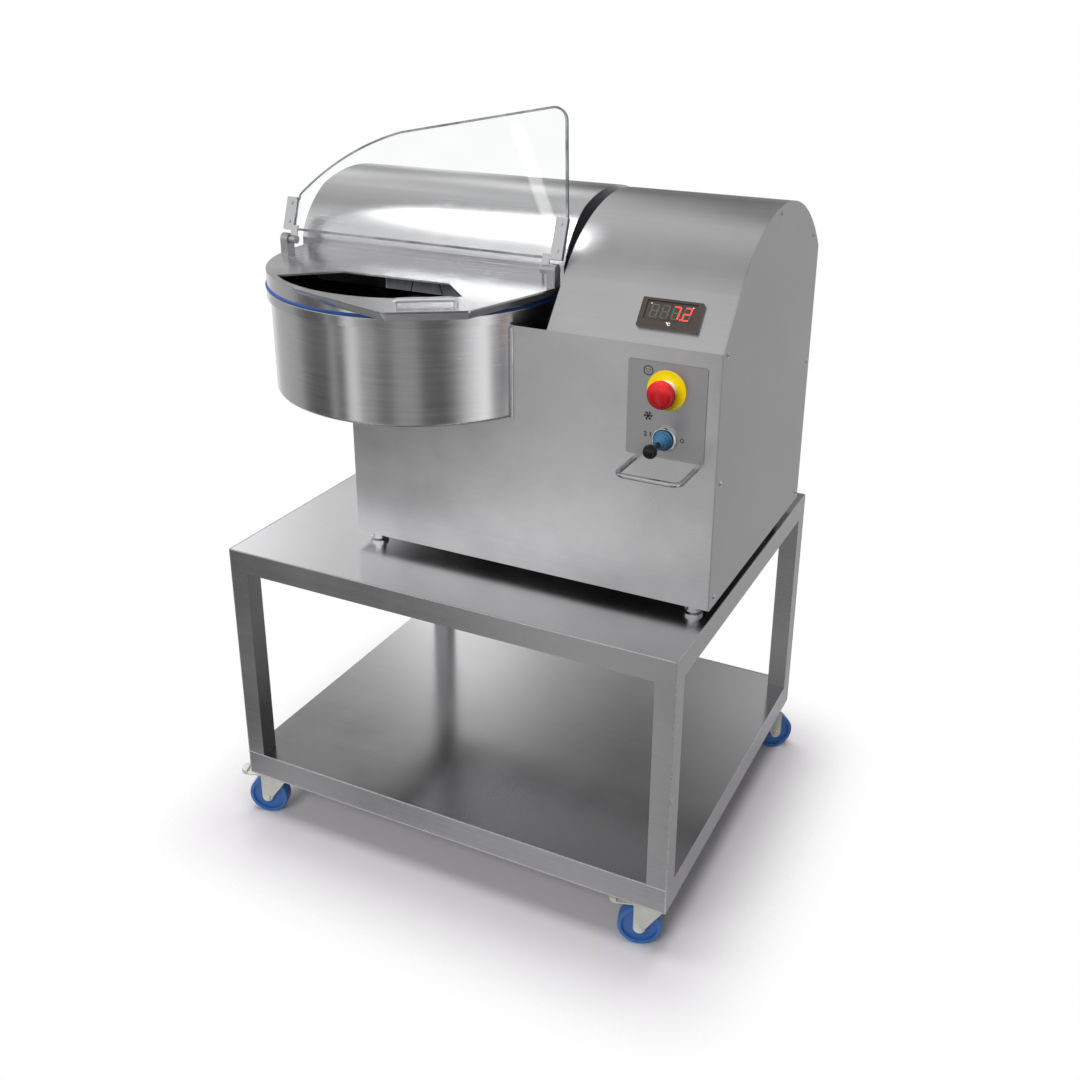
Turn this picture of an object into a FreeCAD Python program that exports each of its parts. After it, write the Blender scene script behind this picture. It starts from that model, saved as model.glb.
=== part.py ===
import FreeCAD, Part
import math
import os
import re
import Sketcher

# Meat bowl cutter on a wheeled stand. Millimetres and degrees, +Z up, floor at Z = 0.
# The operator stands on the -Y side, and the drive housing is on the +X side.

document = FreeCAD.newDocument("meat_bowl_cutter")
sheet = document.addObject("Spreadsheet::Sheet", "Sizes")

# Driving sizes: alias, value, meaning
SIZES = [
    ("origin_from_left", 411.1, "stand's left face to the origin"),
    ("origin_from_front", 323.4, "stand's front face to the origin"),
    # Stand
    ("table_width", 842, "stand along X"),
    ("table_depth", 700, "stand along Y"),
    ("table_height", 570, "floor to the top of the table"),
    ("tube_side", 35, "square tube of the frame"),
    ("tube_wall", 1.5, "wall of the frame tube"),
    ("upper_rail", 40, "height of the upper rails"),
    ("lower_rail", 45, "height of the lower rails"),
    ("table_sheet", 2, "thickness of table top and shelf"),
    ("sheet_round", 1.2, "rounding of the table's upper edge"),
    ("sheet_corner", 3, "corner radius of the table in plan"),
    # Casters
    ("caster_height", 100, "floor to the underside of the frame"),
    ("swivel_inset_x", 35, "swivel axis in from the frame's side"),
    ("swivel_inset_y", 38, "swivel axis in from the frame's front or back"),
    ("wheel_radius", 37.5, "caster wheel"),
    ("wheel_width", 25, "caster wheel"),
    ("wheel_trail", 21, "axle behind the swivel axis"),
    ("tread_depth", 7, "tyre ring of the wheel"),
    ("web_recess", 5, "wheel web in from the tyre's side"),
    ("tread_round", 3, "rounding of the tyre's edge"),
    ("hub_radius", 10, "wheel hub"),
    ("hub_proud", 1, "hub past the tyre's side"),
    ("axle_radius", 4, "caster axle"),
    ("axle_play", 0.05, "wheel bore over the axle"),
    ("axle_head", 6.5, "head radius of the axle bolt"),
    ("axle_head_high", 4, "head height of the axle bolt"),
    ("cheek_gap", 1, "wheel hub to fork cheek"),
    ("fork_sheet", 2.5, "thickness of the pressed fork"),
    ("fork_top_radius", 23, "round top of the fork"),
    ("fork_end_radius", 10, "lower end of the fork cheek"),
    ("fork_brow", 27, "cheek's reach behind the swivel axis"),
    ("fork_nose", 17, "cheek's reach in front of the swivel axis"),
    ("race_high", 9, "ball race under the plate"),
    ("race_radius", 19, "ball race under the plate"),
    ("race_gap", 0.5, "ball race to fork"),
    ("kingpin_radius", 6, "swivel pin"),
    ("plate_side", 60, "square caster plate"),
    ("plate_thick", 3, "caster plate"),
    ("plate_bolt", 21, "plate bolt from the swivel axis, along X and Y"),
    ("plate_bolt_radius", 5.5, "head of a plate bolt"),
    ("plate_bolt_high", 4, "head of a plate bolt"),
    ("front_turn", 17, "front casters turned about Z"),
    ("rear_turn", 220, "rear casters turned about Z"),
    ("pedal_pin_radius", 2.5, "brake pedal's pin"),
    ("pedal_pin_back", 28, "brake pin behind the swivel axis"),
    ("pedal_pin_drop", 6.5, "brake pin below the fork's top face"),
    ("pedal_knuckle", 4.5, "brake pedal's knuckle radius"),
    ("pedal_reach", 46, "brake pedal past its pin"),
    ("pedal_width", 26, "brake pedal"),
    ("pedal_thick", 3, "brake pedal"),
    # Machine casing
    ("machine_left", 185, "stand's left face to the casing"),
    ("machine_width", 657, "casing along X"),
    ("machine_front", 133, "stand's front face to the casing"),
    ("machine_depth", 500, "casing along Y"),
    ("foot_height", 20, "table to the casing"),
    ("front_height", 418, "front panel"),
    ("deck_height", 265, "casing's underside to the deck"),
    ("housing_width", 285, "drive housing along X"),
    ("casing_sheet", 2, "casing sheet"),
    ("side_sheet", 2.5, "right side panel"),
    ("base_sheet", 4, "base plate"),
    ("slope_run", 59.5, "sloped face of the housing, along Y"),
    ("arch_middle", 0.553, "housing arch's centre behind the front, over the casing's depth"),
    ("arch_under_front", 106.6, "housing arch's centre under the front panel's top"),
    ("arch_bow", 0.5632, "housing arch's radius over the casing's depth"),
    ("screw_from_front", 20, "panel screws behind the front"),
    ("screw_from_back", 15, "panel screws in front of the back"),
    ("screw_over_base", 16, "lowest panel screws over the casing's underside"),
    ("screw_under_front", 5, "panel screw under the front panel's top"),
    ("screw_before_crown", 24, "top panel screw in front of the arch's crown"),
    ("screw_under_crown", 13, "top panel screw under the arch's crown"),
    ("screw_bend_inset", 41, "panel screw at the rear bend, in front of the back"),
    ("screw_bend_over_arch", 197, "panel screw at the rear bend, over the arch's centre"),
    ("screw_rear_drop", 144, "rear panel screw under the front panel's top"),
    ("column_left", 20, "hinge column in from the casing's left face"),
    ("column_width", 335, "hinge column along X"),
    ("column_depth", 68, "hinge column along Y"),
    ("column_height", 183, "hinge column over the deck"),
    ("foot_inset_x", 30, "foot in from the casing's side"),
    ("foot_inset_y", 20, "foot in from the casing's front or back"),
    ("foot_radius", 16, "foot pad"),
    ("foot_pad_high", 6, "foot pad"),
    ("foot_neck", 11, "foot neck radius"),
    ("foot_stud", 6, "foot stud radius"),
    ("foot_nut", 10, "foot nut's corner radius"),
    ("foot_nut_high", 8, "foot nut"),
    ("screw_radius", 2.5, "panel screw's shank"),
    ("screw_play", 0.3, "screw hole over the shank"),
    ("screw_head", 5, "panel screw's head radius"),
    ("screw_head_high", 2.5, "panel screw's head"),
    ("screw_length", 10, "panel screw's shank"),
    ("gland_radius", 11, "cable gland"),
    ("gland_length", 24, "cable gland"),
    ("gland_from_right", 60, "cable gland in from the casing's right face"),
    ("gland_over_base", 60, "cable gland over the casing's underside"),
    # Bowl and its drive
    ("bowl_from_left", 80.5, "casing's left face to the bowl axis"),
    ("bowl_from_front", 117, "casing's front to the bowl axis"),
    ("surround_radius", 257, "fixed drum round the bowl"),
    ("surround_wall", 3, "drum wall and floor"),
    ("surround_round", 5, "drum's lower edge"),
    ("rim_over_deck", 177, "deck to the bowl's rim"),
    ("rim_radius", 263, "bowl's rim"),
    ("rim_band", 17, "turned-down band of the rim"),
    ("rim_lip", 4.5, "thickness of the turned-down band"),
    ("rim_thick", 6, "thickness of the rim"),
    ("rim_round", 2, "rounding of the rim's corners"),
    ("rim_gap", 3, "rim to the drum's upper edge"),
    ("bowl_wall", 7, "bowl wall"),
    ("hub_top_radius", 40, "bowl's centre dome"),
    ("hub_dome_rise", 12, "bowl's centre dome"),
    ("hub_flat", 14, "flat top of the centre dome"),
    ("boss_radius", 60, "boss under the bowl"),
    ("boss_drop", 6, "boss below the trough's underside"),
    ("spindle_radius", 17.5, "bowl spindle"),
    ("spindle_flange", 50, "bowl spindle's flange radius"),
    ("spindle_flange_high", 10, "bowl spindle's flange"),
    ("bearing_outer", 36, "bowl bearing's outer radius"),
    ("bearing_wide", 17, "bearing width"),
    ("bearing_play", 0.05, "bearing bore over a shaft"),
    ("bearing_tube", 46, "bearing housing's outer radius"),
    ("bearing_flange", 75, "bearing housing's flange radius"),
    ("bearing_flange_high", 12, "bearing housing's flange"),
    ("bearing_over_deck", 62, "bearing housing over the drum's floor"),
    ("bearing_under_deck", 70, "bearing housing below the deck"),
    ("bearing_lip", 5, "bearing housing's bore under the bearings"),
    ("tube_play", 0.5, "hole round the bearing housing or arm"),
    ("gearmotor_radius", 62, "bowl gearmotor"),
    ("gearmotor_length", 150, "bowl gearmotor"),
    ("gearmotor_neck", 40, "bowl gearmotor's neck radius"),
    ("gearmotor_neck_high", 22, "bowl gearmotor's neck"),
    ("gearmotor_socket", 45, "spindle's depth in the gearmotor"),
    # Knife head and its drive
    ("knife_offset", 131, "bowl axis to the knife axis, along Y"),
    ("knife_over_rim", 30, "bowl's rim to the knife axis"),
    ("knife_radius", 108, "knife sweep"),
    ("knife_play", 2, "knife tip to the bowl"),
    ("knife_thick", 4, "knife blade"),
    ("knife_pitch", 8, "knife blades along the shaft"),
    ("knife_ring", 27, "clamping ring of a knife blade"),
    ("knife_bevel", 14, "ground edge of a knife blade"),
    ("shaft_radius", 12.5, "knife shaft"),
    ("clamp_radius", 21, "collar, spacers and nut of the knife head"),
    ("collar_length", 12, "collar of the knife shaft"),
    ("nut_length", 16, "knife nut"),
    ("arm_radius", 26, "bearing arm over the bowl's rim"),
    ("arm_bore", 15, "bearing arm's bore"),
    ("arm_gap", 4, "knife collar to the bearing arm"),
    ("front_bearing_outer", 21, "shaft bearing at the knives"),
    ("rear_bearing_outer", 31, "shaft bearing at the pulley"),
    ("arm_flange", 66, "arm flange's radius"),
    ("arm_flange_thick", 12, "arm flange"),
    ("arm_body", 44, "arm's radius inside the housing"),
    ("arm_body_length", 110, "arm inside the housing"),
    ("frame_plate", 12, "upright of the drive frame"),
    ("frame_plate_depth", 160, "upright of the drive frame, along Y"),
    ("frame_plate_over", 80, "upright of the drive frame over the knife axis"),
    ("cradle_length", 150, "motor cradle along X"),
    ("cradle_depth", 150, "motor cradle along Y"),
    ("cradle_from_plate", 14, "upright to the motor cradle"),
    ("motor_over_base", 130, "motor axis over the casing's underside"),
    ("motor_radius", 88, "knife motor"),
    ("motor_length", 190, "knife motor"),
    ("motor_gap", 4, "drive frame's upright to the knife motor"),
    ("motor_end", 62, "motor end cap's radius"),
    ("motor_end_long", 22, "motor end cap"),
    ("motor_shaft", 14, "motor shaft's radius"),
    ("motor_socket", 32, "motor shaft's depth in the motor"),
    ("motor_pulley_radius", 70, "motor pulley"),
    ("shaft_pulley_radius", 52, "knife shaft pulley"),
    ("pulley_width", 26, "pulleys along X"),
    ("pulley_inset", 12, "pulleys in from the right side panel"),
    ("groove_depth", 7, "belt groove"),
    ("groove_side", 5, "pulley flange beside the groove"),
    ("belt_play", 0.3, "belt clear of the groove"),
    ("belt_thick", 8, "belt"),
    # Lid
    ("lid_over_rim", 29, "bowl's rim to the lid's upper face"),
    ("lid_radius", 262, "lid"),
    ("lid_sheet", 3, "lid sheet"),
    ("skirt_gap", 3.6, "bowl's rim to the lid's skirt"),
    ("seal_gap", 0.8, "bowl's rim to the seal"),
    ("seal_width", 6, "seal"),
    ("lid_left", 233.5, "square rear of the lid, left of the bowl axis"),
    ("lid_right", 280.5, "square rear of the lid, right of the bowl axis"),
    ("lid_square_front", 63, "square rear of the lid, in front of the bowl axis"),
    ("lid_back", 353, "lid behind the bowl axis"),
    ("tab_turn", 32.4, "tab turned about the bowl axis"),
    ("tab_reach", 329, "tab's front edge from the bowl axis"),
    ("tab_half", 64, "half of the tab's front edge"),
    ("tab_corner", 12, "tab's corner radius"),
    ("tab_wing", 203, "tab's wide end"),
    ("tab_wing_left", 172, "left side's end in front of the bowl axis"),
    ("tab_wing_right", 204, "right side's end in front of the bowl axis"),
    ("apron_high", 13, "apron under the tab"),
    ("apron_taper", 40, "slant of the apron"),
    ("mouth_left_x", 157.5, "filling opening's left tip"),
    ("mouth_left_y", 194, "filling opening's left tip"),
    ("mouth_back_left", 80.5, "filling opening's back edge, left end"),
    ("mouth_back_right", 118.5, "filling opening's back edge, right end"),
    ("mouth_back_left_y", 122, "filling opening's back edge, left end"),
    ("mouth_back_right_y", 115, "filling opening's back edge, right end"),
    ("mouth_right_x", 179, "filling opening's right tip"),
    ("mouth_right_y", 178, "filling opening's right tip"),
    ("mouth_radius", 252, "filling opening's front edge"),
    ("well_left", 95, "knife well in the lid, left of the bowl axis"),
    ("well_right", 215, "knife well in the lid, right of the bowl axis"),
    ("well_front", 12, "knife well's front edge behind the bowl axis"),
    ("well_back", 250, "knife well's back edge behind the bowl axis"),
    ("arm_clear", 6, "lid clear of the bearing arm"),
    ("hood_left", 233.5, "knife hood, left of the bowl axis"),
    ("hood_right", 274.5, "knife hood, right of the bowl axis"),
    ("hood_front", 22, "knife hood's front, in front of the bowl axis"),
    ("hood_rail", 17, "flange along the hood's foot"),
    ("hood_rail_thick", 4, "flange along the hood's foot"),
    ("hood_brow", 24, "upright foot of the hood"),
    ("hood_knee_back", 75, "hood's knee behind its front"),
    ("hood_knee_high", 107, "hood's knee over the lid"),
    ("hood_mid_back", 30, "hood between foot and knee, behind its front"),
    ("hood_mid_high", 72, "hood between foot and knee, over the lid"),
    ("hood_crown_back", 187, "hood's crown behind its front"),
    ("hood_crown_high", 125, "hood's crown over the lid"),
    ("hood_rear_high", 43, "hood's rear edge over the lid"),
    ("hood_sheet", 2.5, "hood sheet"),
    ("baffle_half", 220, "splash plate inside the lid, half length"),
    ("baffle_thick", 3, "splash plate"),
    ("baffle_below_rim", 18, "splash plate below the bowl's rim"),
    ("baffle_front", 26, "splash plate in front of the bowl axis"),
    ("grip_length", 90, "grip on the tab"),
    ("grip_radius", 4, "grip bar"),
    ("grip_from_axis", 295, "grip from the bowl axis"),
    ("grip_over_lid", 9, "grip bar's axis over the lid"),
    ("probe_radius", 4, "temperature probe"),
    ("probe_left", 125, "probe, left of the bowl axis"),
    ("probe_back", 45, "probe, behind the bowl axis"),
    ("probe_below_rim", 45, "probe below the bowl's rim"),
    ("probe_head", 11, "probe head's radius"),
    ("probe_head_high", 22, "probe head over the lid"),
    ("hinge_behind_lid", 17, "lid hinge axis behind the lid"),
    ("hinge_over_lid", 1, "lid hinge axis over the lid's upper face"),
    ("hinge_pin", 6, "lid hinge pin's radius"),
    ("hinge_play", 0.05, "hinge arm's bore over the pin"),
    ("hinge_eye", 12, "radius of the hinge eyes"),
    ("hinge_arm_wide", 16, "hinge arm along X"),
    ("hinge_block_wide", 18, "hinge block along X"),
    ("hinge_side_gap", 0.5, "hinge arm to hinge block"),
    ("hinge_left", 40, "left hinge arm in from the lid's left edge"),
    ("hinge_right", 80, "right hinge arm in from the lid's right edge"),
    # Clear flap
    ("flap_axis_front", 60, "flap axis in front of the bowl axis"),
    ("flap_axis_high", 27, "flap axis over the lid"),
    ("flap_lean", 20, "open flap's lean from upright"),
    ("flap_sheet", 4, "flap"),
    ("flap_left", 225.5, "flap's left edge from the bowl axis"),
    ("flap_right", 286.5, "flap's right edge from the bowl axis"),
    ("flap_foot", 16, "flap's lower edge from its axis"),
    ("ear_left", 247, "left end of the flap's ear under its left strip, from the bowl axis"),
    ("ear_high", 72, "flap's ear"),
    ("flap_left_high", 78, "flap's left corner"),
    ("flap_curve_x", 131.5, "flap's curved side, middle"),
    ("flap_curve_high", 156, "flap's curved side, middle"),
    ("flap_bend_x", 39.5, "flap's curved side, upper end"),
    ("flap_bend_high", 197, "flap's curved side, upper end"),
    ("flap_peak_x", 254, "flap's top corner"),
    ("flap_peak_high", 257, "flap's top corner"),
    ("flap_peak_round", 25, "flap's top corner"),
    ("flap_right_high", 76, "flap's right corner"),
    ("strip_width", 20, "clamping strip"),
    ("strip_top", 82, "clamping strip's upper end from the axis"),
    ("strip_thick", 3, "clamping strip"),
    ("strip_screw", 3, "clamping strip's screw head radius"),
    ("barrel_radius", 7, "flap hinge barrel"),
    ("barrel_wide", 13, "flap hinge barrel along X"),
    ("post_wide", 14, "flap post along X"),
    ("post_deep", 20, "flap post along Y"),
    ("post_gap", 1, "flap post to hinge barrel"),
    ("flap_pin", 4, "flap hinge pin's radius"),
    # Controls
    ("controls_from_right", 84.5, "control plate's middle from the casing's right face"),
    ("control_width", 126, "control plate"),
    ("control_height", 151, "control plate"),
    ("control_bottom", 243, "control plate over the casing's underside"),
    ("control_thick", 1.5, "control plate"),
    ("control_corner", 4, "control plate's corner radius"),
    ("estop_over_base", 351.5, "emergency stop over the casing's underside"),
    ("estop_disc", 31, "yellow disc's radius"),
    ("estop_disc_thick", 1.5, "yellow disc"),
    ("estop_collar", 16.5, "collar radius"),
    ("estop_collar_high", 14, "collar"),
    ("estop_stem", 11, "button stem's radius"),
    ("estop_stem_play", 0.3, "collar's bore over the stem"),
    ("estop_head", 22, "mushroom head's radius"),
    ("estop_travel", 5, "button travel"),
    ("estop_head_high", 15, "mushroom head"),
    ("lever_over_base", 275, "lever switch over the casing's underside"),
    ("lever_ring", 19.5, "lever ring's radius"),
    ("lever_ring_high", 7, "lever ring"),
    ("boot_radius", 15.5, "rubber boot's radius"),
    ("boot_play", 1.6, "ring's bore over the boot"),
    ("boot_length", 28, "rubber boot"),
    ("pivot_high", 6, "panel to the lever's pivot"),
    ("pivot_ball", 6, "ball the lever tilts on"),
    ("pivot_neck", 4, "neck under the pivot ball"),
    ("pivot_play", 0.05, "boot's socket over the pivot ball"),
    ("boot_foot", 4.5, "panel to the boot"),
    ("lever_rod", 4, "lever rod's radius"),
    ("lever_reach", 61, "panel to the ball's centre"),
    ("ball_radius", 11, "lever ball"),
    ("guard_half", 50.5, "half the spacing of the guard bar's feet"),
    ("guard_over_base", 233, "guard bar over the casing's underside"),
    ("guard_reach", 70, "guard bar from the panel"),
    ("guard_radius", 4, "guard bar"),
    ("guard_bend", 14, "guard bar's bend"),
    ("guard_foot", 7, "guard bar's foot radius"),
    ("display_from_right", 95, "display's middle from the casing's right face"),
    ("display_up_slope", 49, "display's middle up the sloped face"),
    ("display_width", 96, "display"),
    ("display_high", 48, "display"),
    ("display_thick", 7, "display bezel"),
    ("display_round", 2, "display bezel's corner radius"),
    ("window_inset", 8, "window in from the bezel's edge"),
    ("window_deep", 2, "window below the bezel's face"),
]

for row, (alias, value, meaning) in enumerate(SIZES, start=1):
    sheet.set("A%d" % row, meaning)
    sheet.set("B%d" % row, str(value))
    sheet.setAlias("B%d" % row, alias)
ALIASES = {alias for alias, value, meaning in SIZES}
document.recompute()

# Places worked out from the driving sizes
STAND_LEFT = "(-origin_from_left)"
STAND_RIGHT = "(table_width - origin_from_left)"
STAND_FRONT = "(-origin_from_front)"
STAND_BACK = "(table_depth - origin_from_front)"
FRAME_TOP = "(table_height - table_sheet)"
SHELF_UNDER = "(caster_height + lower_rail)"
FORK_TOP = "(caster_height - plate_thick - race_high - race_gap)"
FORK_HALF = "(wheel_width / 2 + hub_proud + cheek_gap + fork_sheet)"
LEFT = "(machine_left - origin_from_left)"
RIGHT = "(machine_left + machine_width - origin_from_left)"
FRONT = "(machine_front - origin_from_front)"
BACK = "(machine_front + machine_depth - origin_from_front)"
BASE = "(table_height + foot_height)"
DECK = "(table_height + foot_height + deck_height)"
FRONT_TOP = "(table_height + foot_height + front_height)"
HOUSING = f"({RIGHT} - housing_width)"
PANEL = f"({RIGHT} - side_sheet)"
AXIS_X = f"({LEFT} + bowl_from_left)"
AXIS_Y = f"({FRONT} + bowl_from_front)"
RIM = f"({DECK} + rim_over_deck)"
LID_TOP = f"({RIM} + lid_over_rim)"
LID_UNDER = f"({LID_TOP} - lid_sheet)"
KNIFE_Y = f"({AXIS_Y} + knife_offset)"
KNIFE_Z = f"({RIM} + knife_over_rim)"
TROUGH = "(knife_radius + knife_play)"
ARCH_OVER = "(front_height - arch_under_front)"
ARCH_FRONT = "(machine_depth * arch_middle)"
ARCH_RADIUS = "(machine_depth * arch_bow)"
ARCH_START = f"({ARCH_OVER} + sqrt({ARCH_RADIUS} ^ 2 - ({ARCH_FRONT} - slope_run) ^ 2))"
ARCH_END = f"({ARCH_OVER} + sqrt({ARCH_RADIUS} ^ 2 - (machine_depth - {ARCH_FRONT}) ^ 2))"
SLOPE_ANGLE = f"(atan2({ARCH_START} - front_height; slope_run) / 1deg)"
CONTROL_X = f"({RIGHT} - controls_from_right)"
PANEL_FACE = f"({FRONT} - control_thick)"
PLATE_X = f"({HOUSING} + casing_sheet)"
MOTOR_Z = f"({BASE} + motor_over_base)"
MOTOR_RIGHT = f"({PLATE_X} + frame_plate + motor_gap + motor_length)"
PULLEY_RIGHT = f"({PANEL} - pulley_inset)"
HINGE_Y = f"({AXIS_Y} + lid_back + hinge_behind_lid)"
HINGE_Z = f"({LID_TOP} + hinge_over_lid)"
FLAP_Y = f"({AXIS_Y} - flap_axis_front)"
FLAP_Z = f"({LID_TOP} + flap_axis_high)"

TURN_TO_X = FreeCAD.Rotation(FreeCAD.Vector(0, 1, 0), 90)
TURN_TO_FRONT = FreeCAD.Rotation(FreeCAD.Vector(1, 0, 0), 90)
TURN_TO_BACK = FreeCAD.Rotation(FreeCAD.Vector(1, 0, 0), -90)
PLANE_ROLES = {"XY": "XY_Plane", "XZ": "XZ_Plane", "YZ": "YZ_Plane"}

nodes = {}


def bound(text):
    """The expression with every size's alias read from the sheet."""
    return re.sub(r"[A-Za-z_]\w*", lambda word: "Sizes." + word[0] if word[0] in ALIASES else word[0], text)


def number(text):
    """The expression's present value, for a sketch's first guess."""
    return float(sheet.evalExpression(bound(text)))


def bind(thing, **sizes):
    """Bind properties to expressions."""
    for name, text in sizes.items():
        thing.setExpression(name, bound(text))
    return thing


def put(thing, x="0", y="0", z="0", rotation=None, turn=None):
    """Place an object at bound coordinates, with an optional fixed rotation or a bound turn of it."""
    if rotation is not None:
        thing.Placement = FreeCAD.Placement(FreeCAD.Vector(), rotation)
    if turn is not None:
        thing.setExpression("Placement.Rotation.Angle", bound(turn))
    for name, text in (("x", x), ("y", y), ("z", z)):
        if text != "0":
            thing.setExpression("Placement.Base." + name, bound(text))
    return thing


def keep(name, thing):
    """Give a finished sub-part its name."""
    thing.Label = name
    nodes[name] = thing
    return thing


# Part primitives and booleans

def box(name, low, high):
    """A block between two corners."""
    block = document.addObject("Part::Box", name)
    spans = [f"({b}) - ({a})" for a, b in zip(low, high)]
    bind(block, Length=spans[0], Width=spans[1], Height=spans[2])
    return put(block, *low)


def rod(name, radius, length, x="0", y="0", z="0", rotation=None):
    """A cylinder from a point, along +Z or as turned."""
    cylinder = document.addObject("Part::Cylinder", name)
    bind(cylinder, Radius=radius, Height=length)
    return put(cylinder, x, y, z, rotation)


def union(name, pieces):
    fused = document.addObject("Part::MultiFuse", name)
    fused.Shapes = pieces
    fused.Refine = True
    return fused


def cut(name, solid, tools):
    """The solid less one or more tools."""
    tool = tools[0] if len(tools) == 1 else union(name + "_tools", tools)
    rest = document.addObject("Part::Cut", name)
    rest.Base = solid
    rest.Tool = tool
    rest.Refine = True
    return rest


def group(name, pieces):
    """Separate solids kept in one sub-part."""
    bundle = document.addObject("Part::Compound", name)
    bundle.Links = pieces
    return bundle


# Sketches and bodies

def new_sketch(body, plane, offset="0"):
    drawing = body.newObject("Sketcher::SketchObject", body.Name + "_sketch")
    support = [item for item in body.Origin.OriginFeatures if item.Role == PLANE_ROLES[plane]]
    drawing.AttachmentSupport = [(support[0], "")]
    drawing.MapMode = "FlatFace"
    if offset != "0":
        sign = "-" if plane == "XZ" else ""
        drawing.setExpression("AttachmentOffset.Base.z", bound(f"{sign}({offset})"))
    return drawing


def fix_point(drawing, geometry, vertex, across, up):
    """Hold one point of a drawing at bound distances from its origin."""
    for kind, text in (("DistanceX", across), ("DistanceY", up)):
        index = drawing.addConstraint(Sketcher.Constraint(kind, -1, 1, geometry, vertex, number(text)))
        drawing.setExpression("Constraints[%d]" % index, bound(text))


def fix_radius(drawing, geometry, text):
    index = drawing.addConstraint(Sketcher.Constraint("Radius", geometry, number(text)))
    drawing.setExpression("Constraints[%d]" % index, bound(text))


def arc_through(first, middle, last):
    """A counter-clockwise arc through three points, and whether it starts at the first."""
    curve = Part.Arc(first, middle, last).toShape().Curve
    centre = curve.Center
    starts_first = (middle - first).cross(last - middle).z > 0
    start, end = (first, last) if starts_first else (last, first)
    angles = [math.atan2(point.y - centre.y, point.x - centre.x) for point in (start, end)]
    circle = Part.Circle(centre, FreeCAD.Vector(0, 0, 1), curve.Radius)
    return Part.ArcOfCircle(circle, angles[0], angles[1]), starts_first


def outline(drawing, corners, closed=True):
    """Draw an outline. A corner is (across, up), with ("round", radius) or ("through", across, up) after it:
    the first rounds the corner, and the second bends the side that follows through a point."""
    count = len(corners)
    spots = [FreeCAD.Vector(number(corner[0]), number(corner[1]), 0) for corner in corners]
    extras = [corner[2] if len(corner) > 2 else None for corner in corners]
    arrive = list(spots)
    leave = list(spots)
    fillets = {}
    for index, extra in enumerate(extras):
        if extra and extra[0] == "round":
            before = (spots[index - 1] - spots[index]).normalize()
            after = (spots[(index + 1) % count] - spots[index]).normalize()
            half = before.getAngle(after) / 2
            radius = number(extra[1])
            arrive[index] = spots[index] + before * (radius / math.tan(half))
            leave[index] = spots[index] + after * (radius / math.tan(half))
            centre = spots[index] + (before + after).normalize() * (radius / math.sin(half))
            fillets[index] = (centre, extra[1])
    sides = []
    for index in range(count if closed else count - 1):
        start = leave[index]
        end = arrive[(index + 1) % count]
        extra = extras[index]
        if extra and extra[0] == "through":
            middle = FreeCAD.Vector(number(extra[1]), number(extra[2]), 0)
            curve, starts_first = arc_through(start, middle, end)
            side = drawing.addGeometry(curve)
            sides.append((side, 1, 2) if starts_first else (side, 2, 1))
            mark = drawing.addGeometry(Part.Point(middle), True)
            fix_point(drawing, mark, 1, extra[1], extra[2])
            drawing.addConstraint(Sketcher.Constraint("PointOnObject", mark, 1, side))
        else:
            sides.append((drawing.addGeometry(Part.LineSegment(start, end)), 1, 2))
    for index in range(count):
        across, up = corners[index][:2]
        if not closed and index == 0:
            fix_point(drawing, sides[0][0], sides[0][1], across, up)
            continue
        if not closed and index == count - 1:
            fix_point(drawing, sides[-1][0], sides[-1][2], across, up)
            continue
        before, _, before_end = sides[index - 1]
        after, after_start, _ = sides[index]
        if index not in fillets:
            drawing.addConstraint(Sketcher.Constraint("Coincident", before, before_end, after, after_start))
            fix_point(drawing, after, after_start, across, up)
            continue
        centre, radius = fillets[index]
        toward = (arrive[index] - centre).normalize()
        away = (leave[index] - centre).normalize()
        middle = centre + (toward + away).normalize() * number(radius)
        curve, starts_first = arc_through(arrive[index], middle, leave[index])
        bend = drawing.addGeometry(curve)
        first, last = (1, 2) if starts_first else (2, 1)
        mark = drawing.addGeometry(Part.Point(spots[index]), True)
        fix_point(drawing, mark, 1, across, up)
        drawing.addConstraint(Sketcher.Constraint("PointOnObject", mark, 1, before))
        drawing.addConstraint(Sketcher.Constraint("PointOnObject", mark, 1, after))
        drawing.addConstraint(Sketcher.Constraint("Tangent", before, before_end, bend, first))
        drawing.addConstraint(Sketcher.Constraint("Tangent", bend, last, after, after_start))
        fix_radius(drawing, bend, radius)
    return drawing


def circle(drawing, radius, across="0", up="0"):
    ring = drawing.addGeometry(Part.Circle(FreeCAD.Vector(number(across), number(up), 0),
                                           FreeCAD.Vector(0, 0, 1), number(radius)))
    fix_point(drawing, ring, 3, across, up)
    fix_radius(drawing, ring, radius)


def new_body(name):
    return document.addObject("PartDesign::Body", name)


def pad(body, drawing, length, taper=None):
    """Raise a closed drawing along the plane's +X, +Y or +Z."""
    feature = body.newObject("PartDesign::Pad", body.Name + "_pad")
    feature.Profile = drawing
    bind(feature, Length=length)
    if taper:
        bind(feature, TaperAngle=taper)
    feature.Reversed = drawing.AttachmentSupport[0][0].Role == "XZ_Plane"
    return feature


def padded(name, plane, corners, length, offset="0", holes=()):
    """A body padded from one outline, with round holes (radius, across, up)."""
    body = new_body(name)
    drawing = new_sketch(body, plane, offset)
    outline(drawing, corners)
    for radius, across, up in holes:
        circle(drawing, radius, across, up)
    pad(body, drawing, length)
    return body


def turned(name, corners, x="0", y="0", z="0", rotation=None):
    """A body of revolution about its own Z, from corners given as (radius, height)."""
    body = new_body(name)
    drawing = new_sketch(body, "XZ")
    outline(drawing, corners)
    feature = body.newObject("PartDesign::Revolution", name + "_turn")
    feature.Profile = drawing
    feature.ReferenceAxis = (drawing, ["V_Axis"])
    feature.Angle = 360
    return put(body, x, y, z, rotation)


def ring(name, outer, inner, length, x="0", y="0", z="0", rotation=None):
    corners = [(inner, "0"), (outer, "0"), (outer, length), (inner, length)]
    return turned(name, corners, x, y, z, rotation)


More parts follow.
